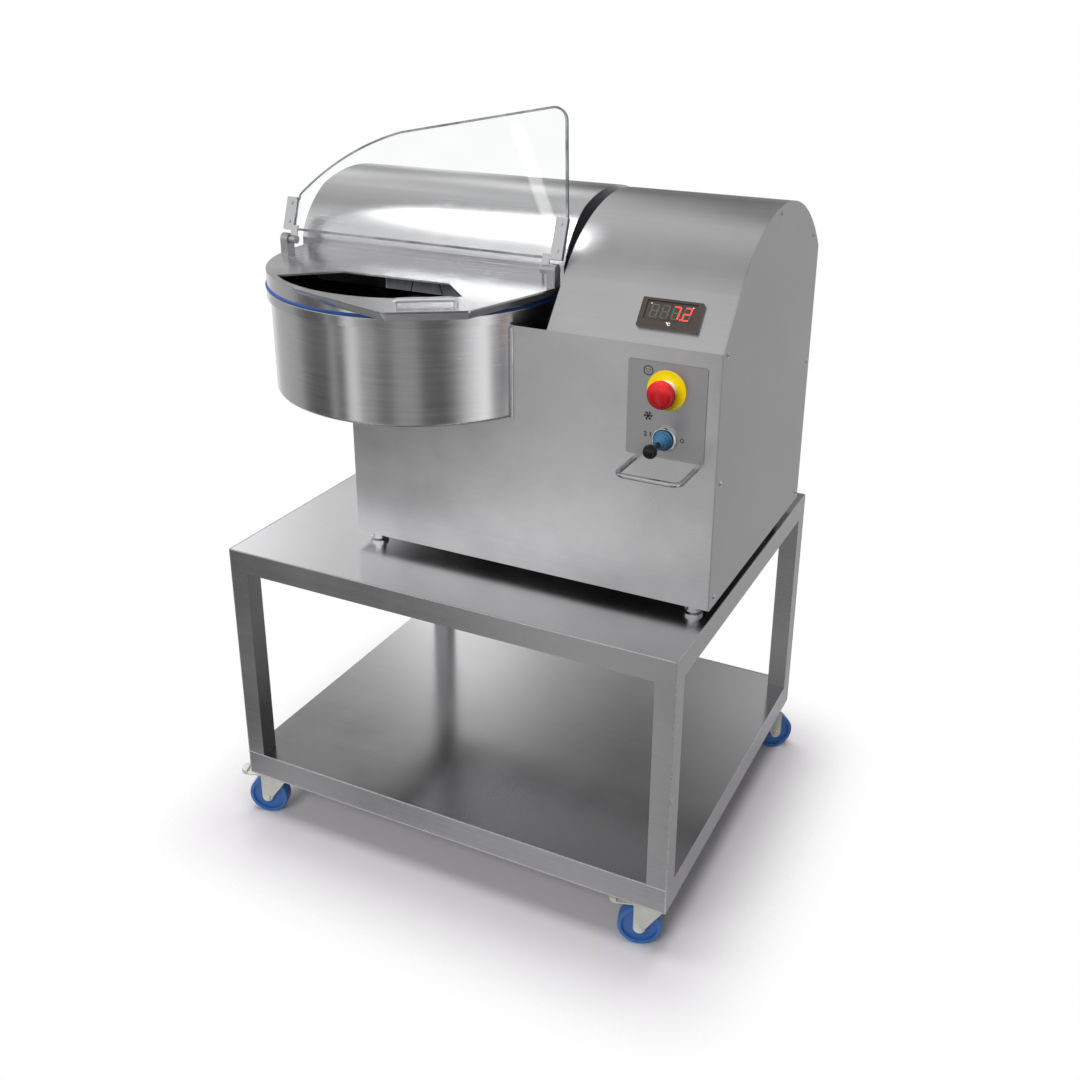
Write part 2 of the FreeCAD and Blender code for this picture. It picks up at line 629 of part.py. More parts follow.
def rectangle(left, right, low, high, radius=None):
    corners = [(left, low), (right, low), (right, high), (left, high)]
    return [corner + (("round", radius),) for corner in corners] if radius else corners


# How near a face or edge lies to its place, and how squarely it faces along an axis
SAME_PLACE = 0.01
SQUARE_ON = 0.99


def faces_at(feature, axis, place):
    """Names of a feature's flat faces whose middle has this coordinate."""
    names = []
    for index, face in enumerate(feature.Shape.Faces, start=1):
        if face.Surface.TypeId != "Part::GeomPlane":
            continue
        apart = abs(getattr(face.CenterOfMass, axis) - place)
        facing = abs(getattr(face.normalAt(0, 0), axis))
        if apart < SAME_PLACE and facing > SQUARE_ON:
            names.append("Face%d" % index)
    return names


# Stand

def square_tube(name, axis, low, high):
    """An open square tube along an axis."""
    inner_low = [text if index == axis else f"({text}) + tube_wall" for index, text in enumerate(low)]
    inner_high = [text if index == axis else f"({text}) - tube_wall" for index, text in enumerate(high)]
    return cut(name, box(name + "_outer", low, high), [box(name + "_bore", inner_low, inner_high)])


def trolley_frame():
    tubes = []
    x_stations = [(STAND_LEFT, f"{STAND_LEFT} + tube_side"), (f"{STAND_RIGHT} - tube_side", STAND_RIGHT)]
    y_stations = [(STAND_FRONT, f"{STAND_FRONT} + tube_side"), (f"{STAND_BACK} - tube_side", STAND_BACK)]
    for column, (x_low, x_high) in enumerate(x_stations):
        for line, (y_low, y_high) in enumerate(y_stations):
            tubes.append(square_tube("leg_%d%d" % (column, line), 2, (x_low, y_low, "caster_height"),
                                     (x_high, y_high, FRAME_TOP)))
    levels = [("lower", "caster_height", SHELF_UNDER), ("upper", f"{FRAME_TOP} - upper_rail", FRAME_TOP)]
    for level, z_low, z_high in levels:
        for line, (y_low, y_high) in enumerate(y_stations):
            tubes.append(square_tube("%s_rail_x%d" % (level, line), 0, (x_stations[0][1], y_low, z_low),
                                     (x_stations[1][0], y_high, z_high)))
        for column, (x_low, x_high) in enumerate(x_stations):
            tubes.append(square_tube("%s_rail_y%d" % (level, column), 1, (x_low, y_stations[0][1], z_low),
                                     (x_high, y_stations[1][0], z_high)))
    keep("trolley_frame", group("trolley_frame", tubes))


def table_top():
    body = padded("table_top", "XY", rectangle(STAND_LEFT, STAND_RIGHT, STAND_FRONT, STAND_BACK,
                                               "sheet_corner"),
                  "table_sheet", FRAME_TOP)
    document.recompute()
    base = body.Tip
    top = base.Shape.BoundBox.ZMax
    edges = ["Edge%d" % number_of for number_of, edge in enumerate(base.Shape.Edges, start=1)
             if edge.BoundBox.ZMin > top - SAME_PLACE]
    softened = body.newObject("PartDesign::Fillet", "table_top_edge")
    softened.Base = (base, edges)
    bind(softened, Radius="sheet_round")
    keep("table_top", body)


def shelf():
    inner_left = f"{STAND_LEFT} + tube_side"
    inner_right = f"{STAND_RIGHT} - tube_side"
    inner_front = f"{STAND_FRONT} + tube_side"
    inner_back = f"{STAND_BACK} - tube_side"
    corners = [(inner_left, STAND_FRONT), (inner_right, STAND_FRONT), (inner_right, inner_front),
               (STAND_RIGHT, inner_front), (STAND_RIGHT, inner_back), (inner_right, inner_back),
               (inner_right, STAND_BACK), (inner_left, STAND_BACK), (inner_left, inner_back),
               (STAND_LEFT, inner_back), (STAND_LEFT, inner_front), (inner_left, inner_front)]
    keep("shelf", padded("shelf", "XY", corners, "table_sheet", SHELF_UNDER))


# Casters: modelled about the swivel axis with the wheel trailing toward -X, then turned and placed

CASTERS = {
    "front_left": (f"({STAND_LEFT} + swivel_inset_x)", f"({STAND_FRONT} + swivel_inset_y)", "front_turn",
                   True),
    "front_right": (f"({STAND_RIGHT} - swivel_inset_x)", f"({STAND_FRONT} + swivel_inset_y)", "front_turn",
                    True),
    "rear_left": (f"({STAND_LEFT} + swivel_inset_x)", f"({STAND_BACK} - swivel_inset_y)", "rear_turn", False),
    "rear_right": (f"({STAND_RIGHT} - swivel_inset_x)", f"({STAND_BACK} - swivel_inset_y)", "rear_turn",
                   False),
}
ABOUT_Z = FreeCAD.Rotation(FreeCAD.Vector(0, 0, 1), 1)


def caster_plates():
    pieces = []
    for name, (x, y, _, _) in CASTERS.items():
        plate = box("plate_" + name, (f"{x} - plate_side / 2", f"{y} - plate_side / 2",
                                      "caster_height - plate_thick"),
                    (f"{x} + plate_side / 2", f"{y} + plate_side / 2", "caster_height"))
        race = rod("race_" + name, "race_radius", "race_high", x, y,
                   "caster_height - plate_thick - race_high")
        pin = rod("kingpin_" + name, "kingpin_radius", "race_high + fork_sheet + 3 * race_gap", x, y,
                  f"{FORK_TOP} - fork_sheet - 2 * race_gap")
        head = rod("kingpin_head_" + name, "kingpin_radius + 3", "2", x, y,
                   f"{FORK_TOP} - fork_sheet - 2 * race_gap - 2")
        bolts = [rod("plate_bolt_%s_%d%d" % (name, i, j), "plate_bolt_radius", "plate_bolt_high",
                     f"{x} + {i} * plate_bolt", f"{y} + {j} * plate_bolt",
                     "caster_height - plate_thick - plate_bolt_high") for i in (-1, 1) for j in (-1, 1)]
        pieces.append(union("caster_plate_" + name, [plate, race, pin, head] + bolts))
    keep("caster_plates", group("caster_plates", pieces))


def caster_fork(name, x, y, turn, braked):
    cheek = padded("cheek_" + name, "XZ", [
        ("-wheel_trail - fork_end_radius", "wheel_radius",
         ("through", "-wheel_trail", "wheel_radius - fork_end_radius")),
        ("-wheel_trail + fork_end_radius", "wheel_radius"),
        ("fork_nose", f"{FORK_TOP} - 12"),
        ("fork_nose", FORK_TOP),
        ("-fork_brow - 4", FORK_TOP),
        ("-fork_brow - 4", f"{FORK_TOP} - 10")], f"2 * {FORK_HALF}", f"-{FORK_HALF}")
    crown = rod("crown_" + name, "fork_top_radius", "fork_sheet", "0", "0", f"{FORK_TOP} - fork_sheet")
    inner = f"({FORK_HALF} - fork_sheet)"
    gap = box("fork_gap_" + name, ("-3 * fork_brow", f"-{inner}", "0"),
              ("3 * fork_nose", inner, f"{FORK_TOP} - fork_sheet"))
    notch = box("fork_notch_" + name, ("-3 * fork_brow", f"-{inner}", "0"),
                ("-fork_top_radius", inner, f"{FORK_TOP} + 5"))
    kingpin_hole = rod("kingpin_hole_" + name, "kingpin_radius + axle_play", "20", "0", "0",
                       f"{FORK_TOP} - 10")
    axle_hole = rod("axle_hole_" + name, "axle_radius", f"4 * {FORK_HALF}", "-wheel_trail",
                    f"-2 * {FORK_HALF}",
                    "wheel_radius", TURN_TO_BACK)
    fork = cut("fork_body_" + name, union("fork_blank_" + name, [cheek, crown]),
               [gap, notch, kingpin_hole, axle_hole])
    shank = rod("axle_shank_" + name, "axle_radius", f"2 * {FORK_HALF}", "-wheel_trail", f"-{FORK_HALF}",
                "wheel_radius", TURN_TO_BACK)
    heads = [rod("axle_head_%s_%d" % (name, side), "axle_head", "axle_head_high", "-wheel_trail", place,
                 "wheel_radius", TURN_TO_BACK)
             for side, place in enumerate((f"-{FORK_HALF} - axle_head_high", FORK_HALF))]
    pieces = [fork, union("axle_" + name, [shank] + heads)]
    if braked:
        pin_z = f"{FORK_TOP} - pedal_pin_drop"
        hole = rod("pedal_pin_hole_" + name, "pedal_pin_radius", f"4 * {FORK_HALF}", "-pedal_pin_back",
                   f"-2 * {FORK_HALF}", pin_z, TURN_TO_BACK)
        pieces[0] = cut("fork_drilled_" + name, fork, [hole])
        pieces.append(rod("pedal_pin_" + name, "pedal_pin_radius", f"2 * {FORK_HALF} + 2", "-pedal_pin_back",
                          f"-{FORK_HALF} - 1", pin_z, TURN_TO_BACK))
    keep("caster_fork_" + name, put(group("caster_fork_" + name, pieces), x, y, "0", ABOUT_Z, turn))


def caster_wheel(name, x, y, turn):
    half = "wheel_width / 2"
    body = new_body("caster_wheel_" + name)
    drawing = new_sketch(body, "XY")
    bore = "axle_radius + axle_play"
    rim = "wheel_radius - tread_depth"
    web = f"{half} - web_recess"
    outline(drawing, [
        (bore, f"-{half} - hub_proud"), ("hub_radius", f"-{half} - hub_proud"), ("hub_radius", f"-({web})"),
        (rim, f"-({web})"), (rim, f"-{half}"), ("wheel_radius", f"-{half}", ("round", "tread_round")),
        ("wheel_radius", half, ("round", "tread_round")), (rim, half), (rim, web), ("hub_radius", web),
        ("hub_radius", f"{half} + hub_proud"), (bore, f"{half} + hub_proud")])
    feature = body.newObject("PartDesign::Revolution", "wheel_turn_" + name)
    feature.Profile = drawing
    feature.ReferenceAxis = (drawing, ["V_Axis"])
    feature.Angle = 360
    put(body, f"{x} - wheel_trail * cos({turn})", f"{y} - wheel_trail * sin({turn})", "wheel_radius", ABOUT_Z,
        turn)
    keep("caster_wheel_" + name, body)


def brake_pedal(name, x, y, turn):
    pin_z = f"({FORK_TOP} - pedal_pin_drop)"
    half = "(pedal_width / 2)"
    knuckle = rod("knuckle_" + name, "pedal_knuckle", "pedal_width", "-pedal_pin_back", f"-{half}", pin_z,
                  TURN_TO_BACK)
    far = "(-pedal_pin_back - pedal_reach)"
    tongue = padded("tongue_" + name, "XY", [
        (f"{far} + {half}", half, ("through", far, "0")), (f"{far} + {half}", f"-{half}"),
        ("-pedal_pin_back", f"-{half}"), ("-pedal_pin_back", half)], "pedal_thick", pin_z)
    lip = padded("lip_" + name, "XY", [
        (f"{far} + {half}", half, ("through", far, "0")), (f"{far} + {half}", f"-{half}")],
        "2 * pedal_thick", f"{pin_z} + pedal_thick")
    bore = rod("knuckle_bore_" + name, "pedal_pin_radius + axle_play", "2 * pedal_width", "-pedal_pin_back",
               "-pedal_width", pin_z, TURN_TO_BACK)
    pedal = cut("pedal_" + name, union("pedal_blank_" + name, [knuckle, tongue, lip]), [bore])
    keep("brake_pedal_" + name, put(group("brake_pedal_" + name, [pedal]), x, y, "0", ABOUT_Z, turn))


# Machine casing

def main_casing():
    """Front, left side and back in one wrap, with the drive housing's left wall."""
    wrap = box("casing_wrap", (LEFT, FRONT, BASE), (PANEL, BACK, f"{DECK} - casing_sheet"))
    housing = box("casing_housing", (HOUSING, FRONT, BASE), (PANEL, BACK, FRONT_TOP))
    seam = f"({AXIS_X} + sqrt(surround_radius ^ 2 - (bowl_from_front - casing_sheet) ^ 2))"
    wing = box("casing_wing", (seam, FRONT, DECK), (HOUSING, f"{FRONT} + casing_sheet", FRONT_TOP))
    inside = box("casing_inside", (f"{LEFT} + casing_sheet", f"{FRONT} + casing_sheet", BASE),
                 (RIGHT, f"{BACK} - casing_sheet", f"{DECK} - casing_sheet"))
    housing_inside = box("casing_housing_inside",
                         (f"{HOUSING} + casing_sheet", f"{FRONT} + casing_sheet", BASE),
                         (RIGHT, f"{BACK} - casing_sheet", FRONT_TOP))
    arm_hole = rod("casing_arm_hole", "arm_radius + tube_play", "40", f"{HOUSING} - 20", KNIFE_Y, KNIFE_Z,
                   TURN_TO_X)
    gland_hole = rod("casing_gland_hole", "gland_radius - 3", "40", f"{RIGHT} - gland_from_right",
                     f"{BACK} - 20",
                     f"{BASE} + gland_over_base", TURN_TO_BACK)
    keep("main_casing", cut("main_casing", union("casing_blank", [wrap, housing, wing]),
                            [inside, housing_inside, arm_hole, gland_hole]))


def housing_profile():
    return [("0", "front_height"), ("machine_depth", "front_height"),
            ("machine_depth", ARCH_END, ("through", ARCH_FRONT, f"{ARCH_OVER} + {ARCH_RADIUS}")),
            ("slope_run", ARCH_START)]


def drive_cover():
    """Sloped face, arch and back of the drive housing, closed on its left."""
    body = new_body("drive_cover_shell")
    drawing = new_sketch(body, "YZ")
    outline(drawing, housing_profile())
    base = pad(body, drawing, "housing_width - side_sheet")
    document.recompute()
    shell = body.newObject("PartDesign::Thickness", "drive_cover_hollow")
    open_faces = faces_at(base, "z", number("front_height"))
    open_faces += faces_at(base, "x", number("housing_width - side_sheet"))
    shell.Base = (base, open_faces)
    bind(shell, Value="casing_sheet")
    shell.Join = 1
    put(body, HOUSING, FRONT, BASE)
    arm_hole = rod("cover_arm_hole", "arm_radius + tube_play", "40", f"{HOUSING} - 20", KNIFE_Y, KNIFE_Z,
                   TURN_TO_X)
    keep("drive_cover", cut("drive_cover", body, [arm_hole]))


# Panel screws: (behind the front, over the casing's underside)
PANEL_SCREWS = [
    ("screw_from_front", "screw_over_base"), ("screw_from_front", "front_height / 2"),
    ("screw_from_front", "front_height - screw_under_front"),
    (f"{ARCH_FRONT} - screw_before_crown", f"{ARCH_OVER} + {ARCH_RADIUS} - screw_under_crown"),
    ("machine_depth - screw_bend_inset", f"{ARCH_OVER} + screw_bend_over_arch"),
    ("machine_depth - screw_from_back", "front_height - screw_rear_drop"),
    ("machine_depth - screw_from_back", "screw_over_base"),
]


def right_side_panel():
    corners = [("0", "0"), ("machine_depth", "0")] + housing_profile()[2:] + [("0", "front_height")]
    holes = [("screw_radius + screw_play", back, up) for back, up in PANEL_SCREWS]
    body = padded("right_side_panel", "YZ", corners, "side_sheet", "0", holes)
    keep("right_side_panel", put(body, PANEL, FRONT, BASE))


def panel_screws():
    screws = []
    for index, (back, up) in enumerate(PANEL_SCREWS):
        screws.append(turned("panel_screw_%d" % index, [
            ("0", "0"), ("screw_radius", "0"), ("screw_radius", "screw_length"),
                                                        ("screw_head", "screw_length"),
            ("0", "screw_length + screw_head_high")],
            f"{RIGHT} - screw_length", f"{FRONT} + {back}", f"{BASE} + {up}", TURN_TO_X))
    keep("panel_screws", group("panel_screws", screws))


def base_plate():
    plate = box("base_blank", (f"{LEFT} + casing_sheet", f"{FRONT} + casing_sheet", BASE),
                (PANEL, f"{BACK} - casing_sheet", f"{BASE} + base_sheet"))
    holes = [rod("stud_hole_%d" % index, "foot_stud + screw_play", "40", x, y, f"{BASE} - 20")
             for index, (x, y) in enumerate(FEET)]
    keep("base_plate", cut("base_plate", plate, holes))


FEET = [(x, y) for x in (f"({LEFT} + foot_inset_x)", f"({RIGHT} - foot_inset_x - side_sheet)")
        for y in (f"({FRONT} + foot_inset_y)", f"({BACK} - foot_inset_y)")]


def machine_feet():
    pieces = []
    for index, (x, y) in enumerate(FEET):
        pieces.append(turned("foot_%d" % index, [
            ("0", "0"), ("foot_radius", "0"), ("foot_radius", "foot_pad_high - 2"),
            ("foot_neck", "foot_pad_high"), ("foot_neck", "foot_height"), ("foot_stud", "foot_height"),
            ("foot_stud", "foot_height + base_sheet + foot_nut_high + 4"),
            ("0", "foot_height + base_sheet + foot_nut_high + 4")], x, y, "table_height"))
        nut = document.addObject("Part::Prism", "foot_nut_blank_%d" % index)
        nut.Polygon = 6
        bind(nut, Circumradius="foot_nut", Height="foot_nut_high")
        put(nut, x, y, f"{BASE} + base_sheet")
        bore = rod("foot_nut_bore_%d" % index, "foot_stud", "60", x, y, f"{BASE} - 20")
        pieces.append(cut("foot_nut_%d" % index, nut, [bore]))
    keep("machine_feet", group("machine_feet", pieces))


def deck_plate():
    """Deck under the bowl, with the hollow column that carries the lid hinge."""
    deck = box("deck_sheet", (LEFT, FRONT, f"{DECK} - casing_sheet"), (HOUSING, BACK, DECK))
    left = f"({LEFT} + column_left)"
    right = f"({LEFT} + column_left + column_width)"
    top = f"({DECK} + column_height)"
    column = box("column_outer", (left, f"{BACK} - column_depth", DECK), (right, BACK, top))
    hollow = box("column_inner", (f"{left} + casing_sheet", f"{BACK} - column_depth + casing_sheet",
                                  f"{DECK} - casing_sheet"),
                 (f"{right} - casing_sheet", f"{BACK} - casing_sheet", f"{top} - casing_sheet"))
    hole = rod("deck_hole", "bearing_tube + tube_play", "40", AXIS_X, AXIS_Y, f"{DECK} - 20")
    keep("deck_plate", cut("deck_plate", union("deck_blank", [deck, column]), [hollow, hole]))


def cable_gland():
    length = "gland_length"
    keep("cable_gland", turned("cable_gland", [
        ("gland_radius - 5", "-6"), ("gland_radius - 3", "-6"), ("gland_radius - 3", "0"),
                                               ("gland_radius", "0"),
        ("gland_radius", f"{length} / 2"), ("gland_radius - 2", f"{length} / 2"),
                                               ("gland_radius - 3", length),
        ("gland_radius - 5", length)],
        f"{RIGHT} - gland_from_right", BACK, f"{BASE} + gland_over_base", TURN_TO_BACK))


# Bowl

def bowl_surround():
    top = "(rim_over_deck - rim_thick - rim_gap)"
    inner = "(surround_radius - surround_wall)"
    keep("bowl_surround", turned("bowl_surround", [
        ("bearing_tube + tube_play", "0"), ("surround_radius", "0", ("round", "surround_round")),
        ("surround_radius", top), (inner, top), (inner, "surround_wall"),
        ("bearing_tube + tube_play", "surround_wall")], AXIS_X, AXIS_Y, DECK))


def trough_height(radius_text, arc):
    """Height over the rim of the trough's arc at a distance from the bowl axis."""
    return f"(knife_over_rim - sqrt({arc} ^ 2 - (knife_offset - {radius_text}) ^ 2))"


def bowl():
    shell = f"({TROUGH} + bowl_wall)"
    mouth = f"(knife_offset + sqrt({TROUGH} ^ 2 - knife_over_rim ^ 2))"
    under = f"(knife_offset + sqrt({shell} ^ 2 - (knife_over_rim + rim_thick) ^ 2))"
    low = f"(knife_over_rim - {shell} - boss_drop)"
    dome = trough_height("hub_top_radius", TROUGH)
    keep("bowl", turned("bowl", [
        ("0", low), ("boss_radius", low), ("boss_radius", trough_height("boss_radius", shell),
                                           ("through", "knife_offset", f"knife_over_rim - {shell}")),
        (under, "-rim_thick"), ("rim_radius - rim_lip", "-rim_thick"), ("rim_radius - rim_lip", "-rim_band"),
        ("rim_radius", "-rim_band"), ("rim_radius", "0", ("round", "rim_round")),
        (mouth, "0", ("through", "knife_offset", f"knife_over_rim - {TROUGH}")),
        ("hub_top_radius", dome, ("through", "(hub_top_radius + hub_flat) / 2",
                                  f"{dome} + 0.7 * hub_dome_rise")),
        ("hub_flat", f"{dome} + hub_dome_rise"), ("0", f"{dome} + hub_dome_rise")], AXIS_X, AXIS_Y, RIM))


BOSS_UNDER = f"({RIM} + knife_over_rim - {TROUGH} - bowl_wall - boss_drop)"
HOUSING_LOW = f"({DECK} - bearing_under_deck)"
HOUSING_HIGH = f"({DECK} + surround_wall + bearing_over_deck)"


def bowl_spindle():
    low = f"({HOUSING_LOW} - gearmotor_socket)"
    flange = f"({BOSS_UNDER} - spindle_flange_high - {low})"
    keep("bowl_spindle", turned("bowl_spindle", [
        ("0", "0"), ("spindle_radius", "0"), ("spindle_radius", flange), ("spindle_flange", flange),
        ("spindle_flange", f"{flange} + spindle_flange_high"), ("0", f"{flange} + spindle_flange_high")],
        AXIS_X, AXIS_Y, low))


def bowl_bearing_housing():
    high = f"({HOUSING_HIGH} - {HOUSING_LOW})"
    seat = f"({DECK} + surround_wall - {HOUSING_LOW})"
    lip = "(bearing_outer - bearing_lip)"
    keep("bowl_bearing_housing", turned("bowl_bearing_housing", [
        ("bearing_outer", "0"), ("bearing_tube", "0"), ("bearing_tube", seat), ("bearing_flange", seat),
        ("bearing_flange", f"{seat} + bearing_flange_high"),
                                                                 ("bearing_tube",
                                                                  f"{seat} + bearing_flange_high"),
        ("bearing_tube", high), ("bearing_outer", high), ("bearing_outer", f"{high} - bearing_wide"),
        (lip, f"{high} - bearing_wide"), (lip, "bearing_wide"), ("bearing_outer", "bearing_wide")],
        AXIS_X, AXIS_Y, HOUSING_LOW))


def bowl_gearmotor():
    length = "gearmotor_length"
    top = f"({length} + gearmotor_neck_high)"
    bore = "(spindle_radius + bearing_play)"
    keep("bowl_gearmotor", turned("bowl_gearmotor", [
        ("0", "0"), ("gearmotor_radius", "0", ("round", "8")), ("gearmotor_radius", length, ("round", "8")),
        ("gearmotor_neck", length), ("gearmotor_neck", f"{top} - 8"), ("bearing_tube", f"{top} - 8"),
                                                     ("bearing_tube", top),
        (bore, top), (bore, f"{top} - gearmotor_socket - 2"), ("0", f"{top} - gearmotor_socket - 2")],
        AXIS_X, AXIS_Y, f"{HOUSING_LOW} - {top}"))


# Knife head

STACK = "(knife_pitch + knife_thick / 2)"
ARM_LEFT = f"({AXIS_X} + {STACK} + collar_length + arm_gap)"
ARM_RIGHT = f"({PLATE_X} + frame_plate + arm_body_length)"


def ball_bearings():
    """Two bearings for the bowl spindle and two for the knife shaft."""
    bore = "spindle_radius + bearing_play"
    shaft = "shaft_radius + bearing_play"
    keep("ball_bearings", group("ball_bearings", [
        ring("bowl_bearing_low", "bearing_outer", bore, "bearing_wide", AXIS_X, AXIS_Y, HOUSING_LOW),
        ring("bowl_bearing_high", "bearing_outer", bore, "bearing_wide", AXIS_X, AXIS_Y,
             f"{HOUSING_HIGH} - bearing_wide"),
        ring("knife_bearing_front", "front_bearing_outer", shaft, "bearing_wide", ARM_LEFT, KNIFE_Y, KNIFE_Z,
             TURN_TO_X),
        ring("knife_bearing_rear", "rear_bearing_outer", shaft, "bearing_wide", f"{ARM_RIGHT} - bearing_wide",
             KNIFE_Y, KNIFE_Z, TURN_TO_X)]))


def bearing_arm():
    plate = f"({PLATE_X} + frame_plate - {ARM_LEFT})"
    length = f"({ARM_RIGHT} - {ARM_LEFT})"
    keep("bearing_arm", turned("bearing_arm", [
        ("front_bearing_outer", "0"), ("arm_radius", "0"), ("arm_radius", plate), ("arm_flange", plate),
        ("arm_flange", f"{plate} + arm_flange_thick"), ("arm_body", f"{plate} + arm_flange_thick"),
        ("arm_body", length), ("rear_bearing_outer", length),
                                               ("rear_bearing_outer", f"{length} - bearing_wide"),
        ("arm_bore", f"{length} - bearing_wide"), ("arm_bore", "bearing_wide"),
        ("front_bearing_outer", "bearing_wide")], ARM_LEFT, KNIFE_Y, KNIFE_Z, TURN_TO_X))


def drive_frame():
    """Upright that carries the bearing arm, and the motor's cradle."""
    upright = box("frame_upright", (PLATE_X, f"{KNIFE_Y} - frame_plate_depth / 2", f"{BASE} + base_sheet"),
                  (f"{PLATE_X} + frame_plate", f"{KNIFE_Y} + frame_plate_depth / 2",
                   f"{KNIFE_Z} + frame_plate_over"))
    hole = rod("frame_arm_hole", "arm_radius + tube_play", "60", f"{PLATE_X} - 20", KNIFE_Y, KNIFE_Z,
               TURN_TO_X)
    start = f"({PLATE_X} + frame_plate + cradle_from_plate)"
    block = box("cradle_block", (start, f"{KNIFE_Y} - cradle_depth / 2", f"{BASE} + base_sheet"),
                (f"{start} + cradle_length", f"{KNIFE_Y} + cradle_depth / 2",
                 f"{MOTOR_Z} - motor_radius / 2"))
    seat = rod("cradle_seat", "motor_radius", "2 * cradle_length", f"{start} - 20", KNIFE_Y, MOTOR_Z,
               TURN_TO_X)
    keep("drive_frame", group("drive_frame", [
        cut("frame_plate_drilled", upright, [hole]), cut("motor_cradle", block, [seat])]))


def knife_motor():
    start = f"({MOTOR_RIGHT} - motor_length)"
    length = "motor_length"
    bore = "(motor_shaft + bearing_play)"
    keep("knife_motor", turned("knife_motor", [
        ("0", "0"), ("motor_end", "0", ("round", "6")), ("motor_end", "motor_end_long / 2"),
        ("motor_radius", "motor_end_long"), ("motor_radius", f"{length} - motor_end_long"),
        ("motor_end", f"{length} - motor_end_long / 2"), ("motor_end", length), (bore, length),
        (bore, f"{length} - motor_socket - 2"), ("0", f"{length} - motor_socket - 2")], start, KNIFE_Y,
                               MOTOR_Z,
        TURN_TO_X))


def pulley(name, radius, bore, z, stub=None):
    """Grooved pulley along X, on its shaft or with its own motor shaft."""
    width = "pulley_width"
    deep = f"({radius} - groove_depth)"
    rim = [(radius, "0"), (radius, "groove_side"), (deep, "groove_side + 2"),
           (deep, f"{width} - groove_side - 2"),
           (radius, f"{width} - groove_side"), (radius, width)]
    if stub:
        corners = [("0", f"-{stub}"), (bore, f"-{stub}"), (bore, "0")] + rim + [("0", width)]
    else:
        corners = [(bore, "0")] + rim + [(bore, width)]
    keep(name, turned(name, corners, f"{PULLEY_RIGHT} - pulley_width", KNIFE_Y, z, TURN_TO_X))


def belt_loop(drawing, low_radius, high_radius, span):
    """Two arcs and the two straight runs that touch them."""
    radii = [number(low_radius), number(high_radius)]
    centres = [FreeCAD.Vector(0, 0, 0), FreeCAD.Vector(0, number(span), 0)]
    lean = math.asin((radii[0] - radii[1]) / centres[1].y)
    right = [centre + FreeCAD.Vector(math.cos(lean), math.sin(lean), 0) * radius
             for centre, radius in zip(centres, radii)]
    left = [FreeCAD.Vector(-point.x, point.y, 0) for point in right]
    circles = [Part.Circle(centre, FreeCAD.Vector(0, 0, 1), radius) for centre, radius in zip(centres, radii)]
    low = drawing.addGeometry(Part.ArcOfCircle(circles[0], math.pi - lean, 2 * math.pi + lean))
    high = drawing.addGeometry(Part.ArcOfCircle(circles[1], lean, math.pi - lean))
    right_run = drawing.addGeometry(Part.LineSegment(right[0], right[1]))
    left_run = drawing.addGeometry(Part.LineSegment(left[1], left[0]))
    chain = [(low, 2, right_run, 1), (right_run, 2, high, 1), (high, 2, left_run, 1), (left_run, 2, low, 1)]
    for first, first_end, second, second_end in chain:
        drawing.addConstraint(Sketcher.Constraint("Tangent", first, first_end, second, second_end))
    fix_point(drawing, low, 3, "0", "0")
    fix_point(drawing, high, 3, "0", span)
    fix_radius(drawing, low, low_radius)
    fix_radius(drawing, high, high_radius)


def knife_belt():
    body = new_body("knife_belt")
    drawing = new_sketch(body, "YZ")
    span = f"({KNIFE_Z} - {MOTOR_Z})"
    inner = "groove_depth - belt_play"
    for growth in ("0", "belt_thick"):
        belt_loop(drawing, f"motor_pulley_radius - ({inner}) + {growth}",
                  f"shaft_pulley_radius - ({inner}) + {growth}", span)
    edge = "(groove_side + 2 + belt_play)"
    pad(body, drawing, f"pulley_width - 2 * {edge}")
    keep("knife_belt", put(body, f"{PULLEY_RIGHT} - pulley_width + {edge}", KNIFE_Y, MOTOR_Z))


def knife_shaft():
    start = f"({AXIS_X} - {STACK} - nut_length)"
    collar = f"(2 * {STACK} + nut_length)"
    length = f"({PULLEY_RIGHT} - {start})"
    keep("knife_shaft", turned("knife_shaft", [
        ("0", "0"), ("shaft_radius", "0"), ("shaft_radius", collar), ("clamp_radius", collar),
        ("clamp_radius", f"{collar} + collar_length"), ("shaft_radius", f"{collar} + collar_length"),
        ("shaft_radius", length), ("0", length)], start, KNIFE_Y, KNIFE_Z, TURN_TO_X))


def knife_blades():
    """Three sickle blades, a third of a turn apart."""
    for index in range(3):
        name = "knife_blade_%d" % (index + 1)
        body = new_body(name)
        drawing = new_sketch(body, "YZ")
        outline(drawing, [
            ("knife_ring", "0", ("through", "knife_radius * 0.465", "knife_radius * 0.49")),
            ("-knife_radius * 0.17", "knife_radius * 0.98",
             ("through", "knife_radius * 0.17", "knife_radius * 0.6")),
            ("-knife_ring * 0.28", "knife_ring * 0.96",
             ("through", "-knife_ring * 0.8", "-knife_ring * 0.6"))])
        circle(drawing, "shaft_radius")
        pad(body, drawing, "knife_thick")
        about_x = FreeCAD.Rotation(FreeCAD.Vector(1, 0, 0), 120 * index)
        put(body, f"{AXIS_X} + {index - 1} * knife_pitch - knife_thick / 2", KNIFE_Y, KNIFE_Z, about_x)
        keep(name, body)


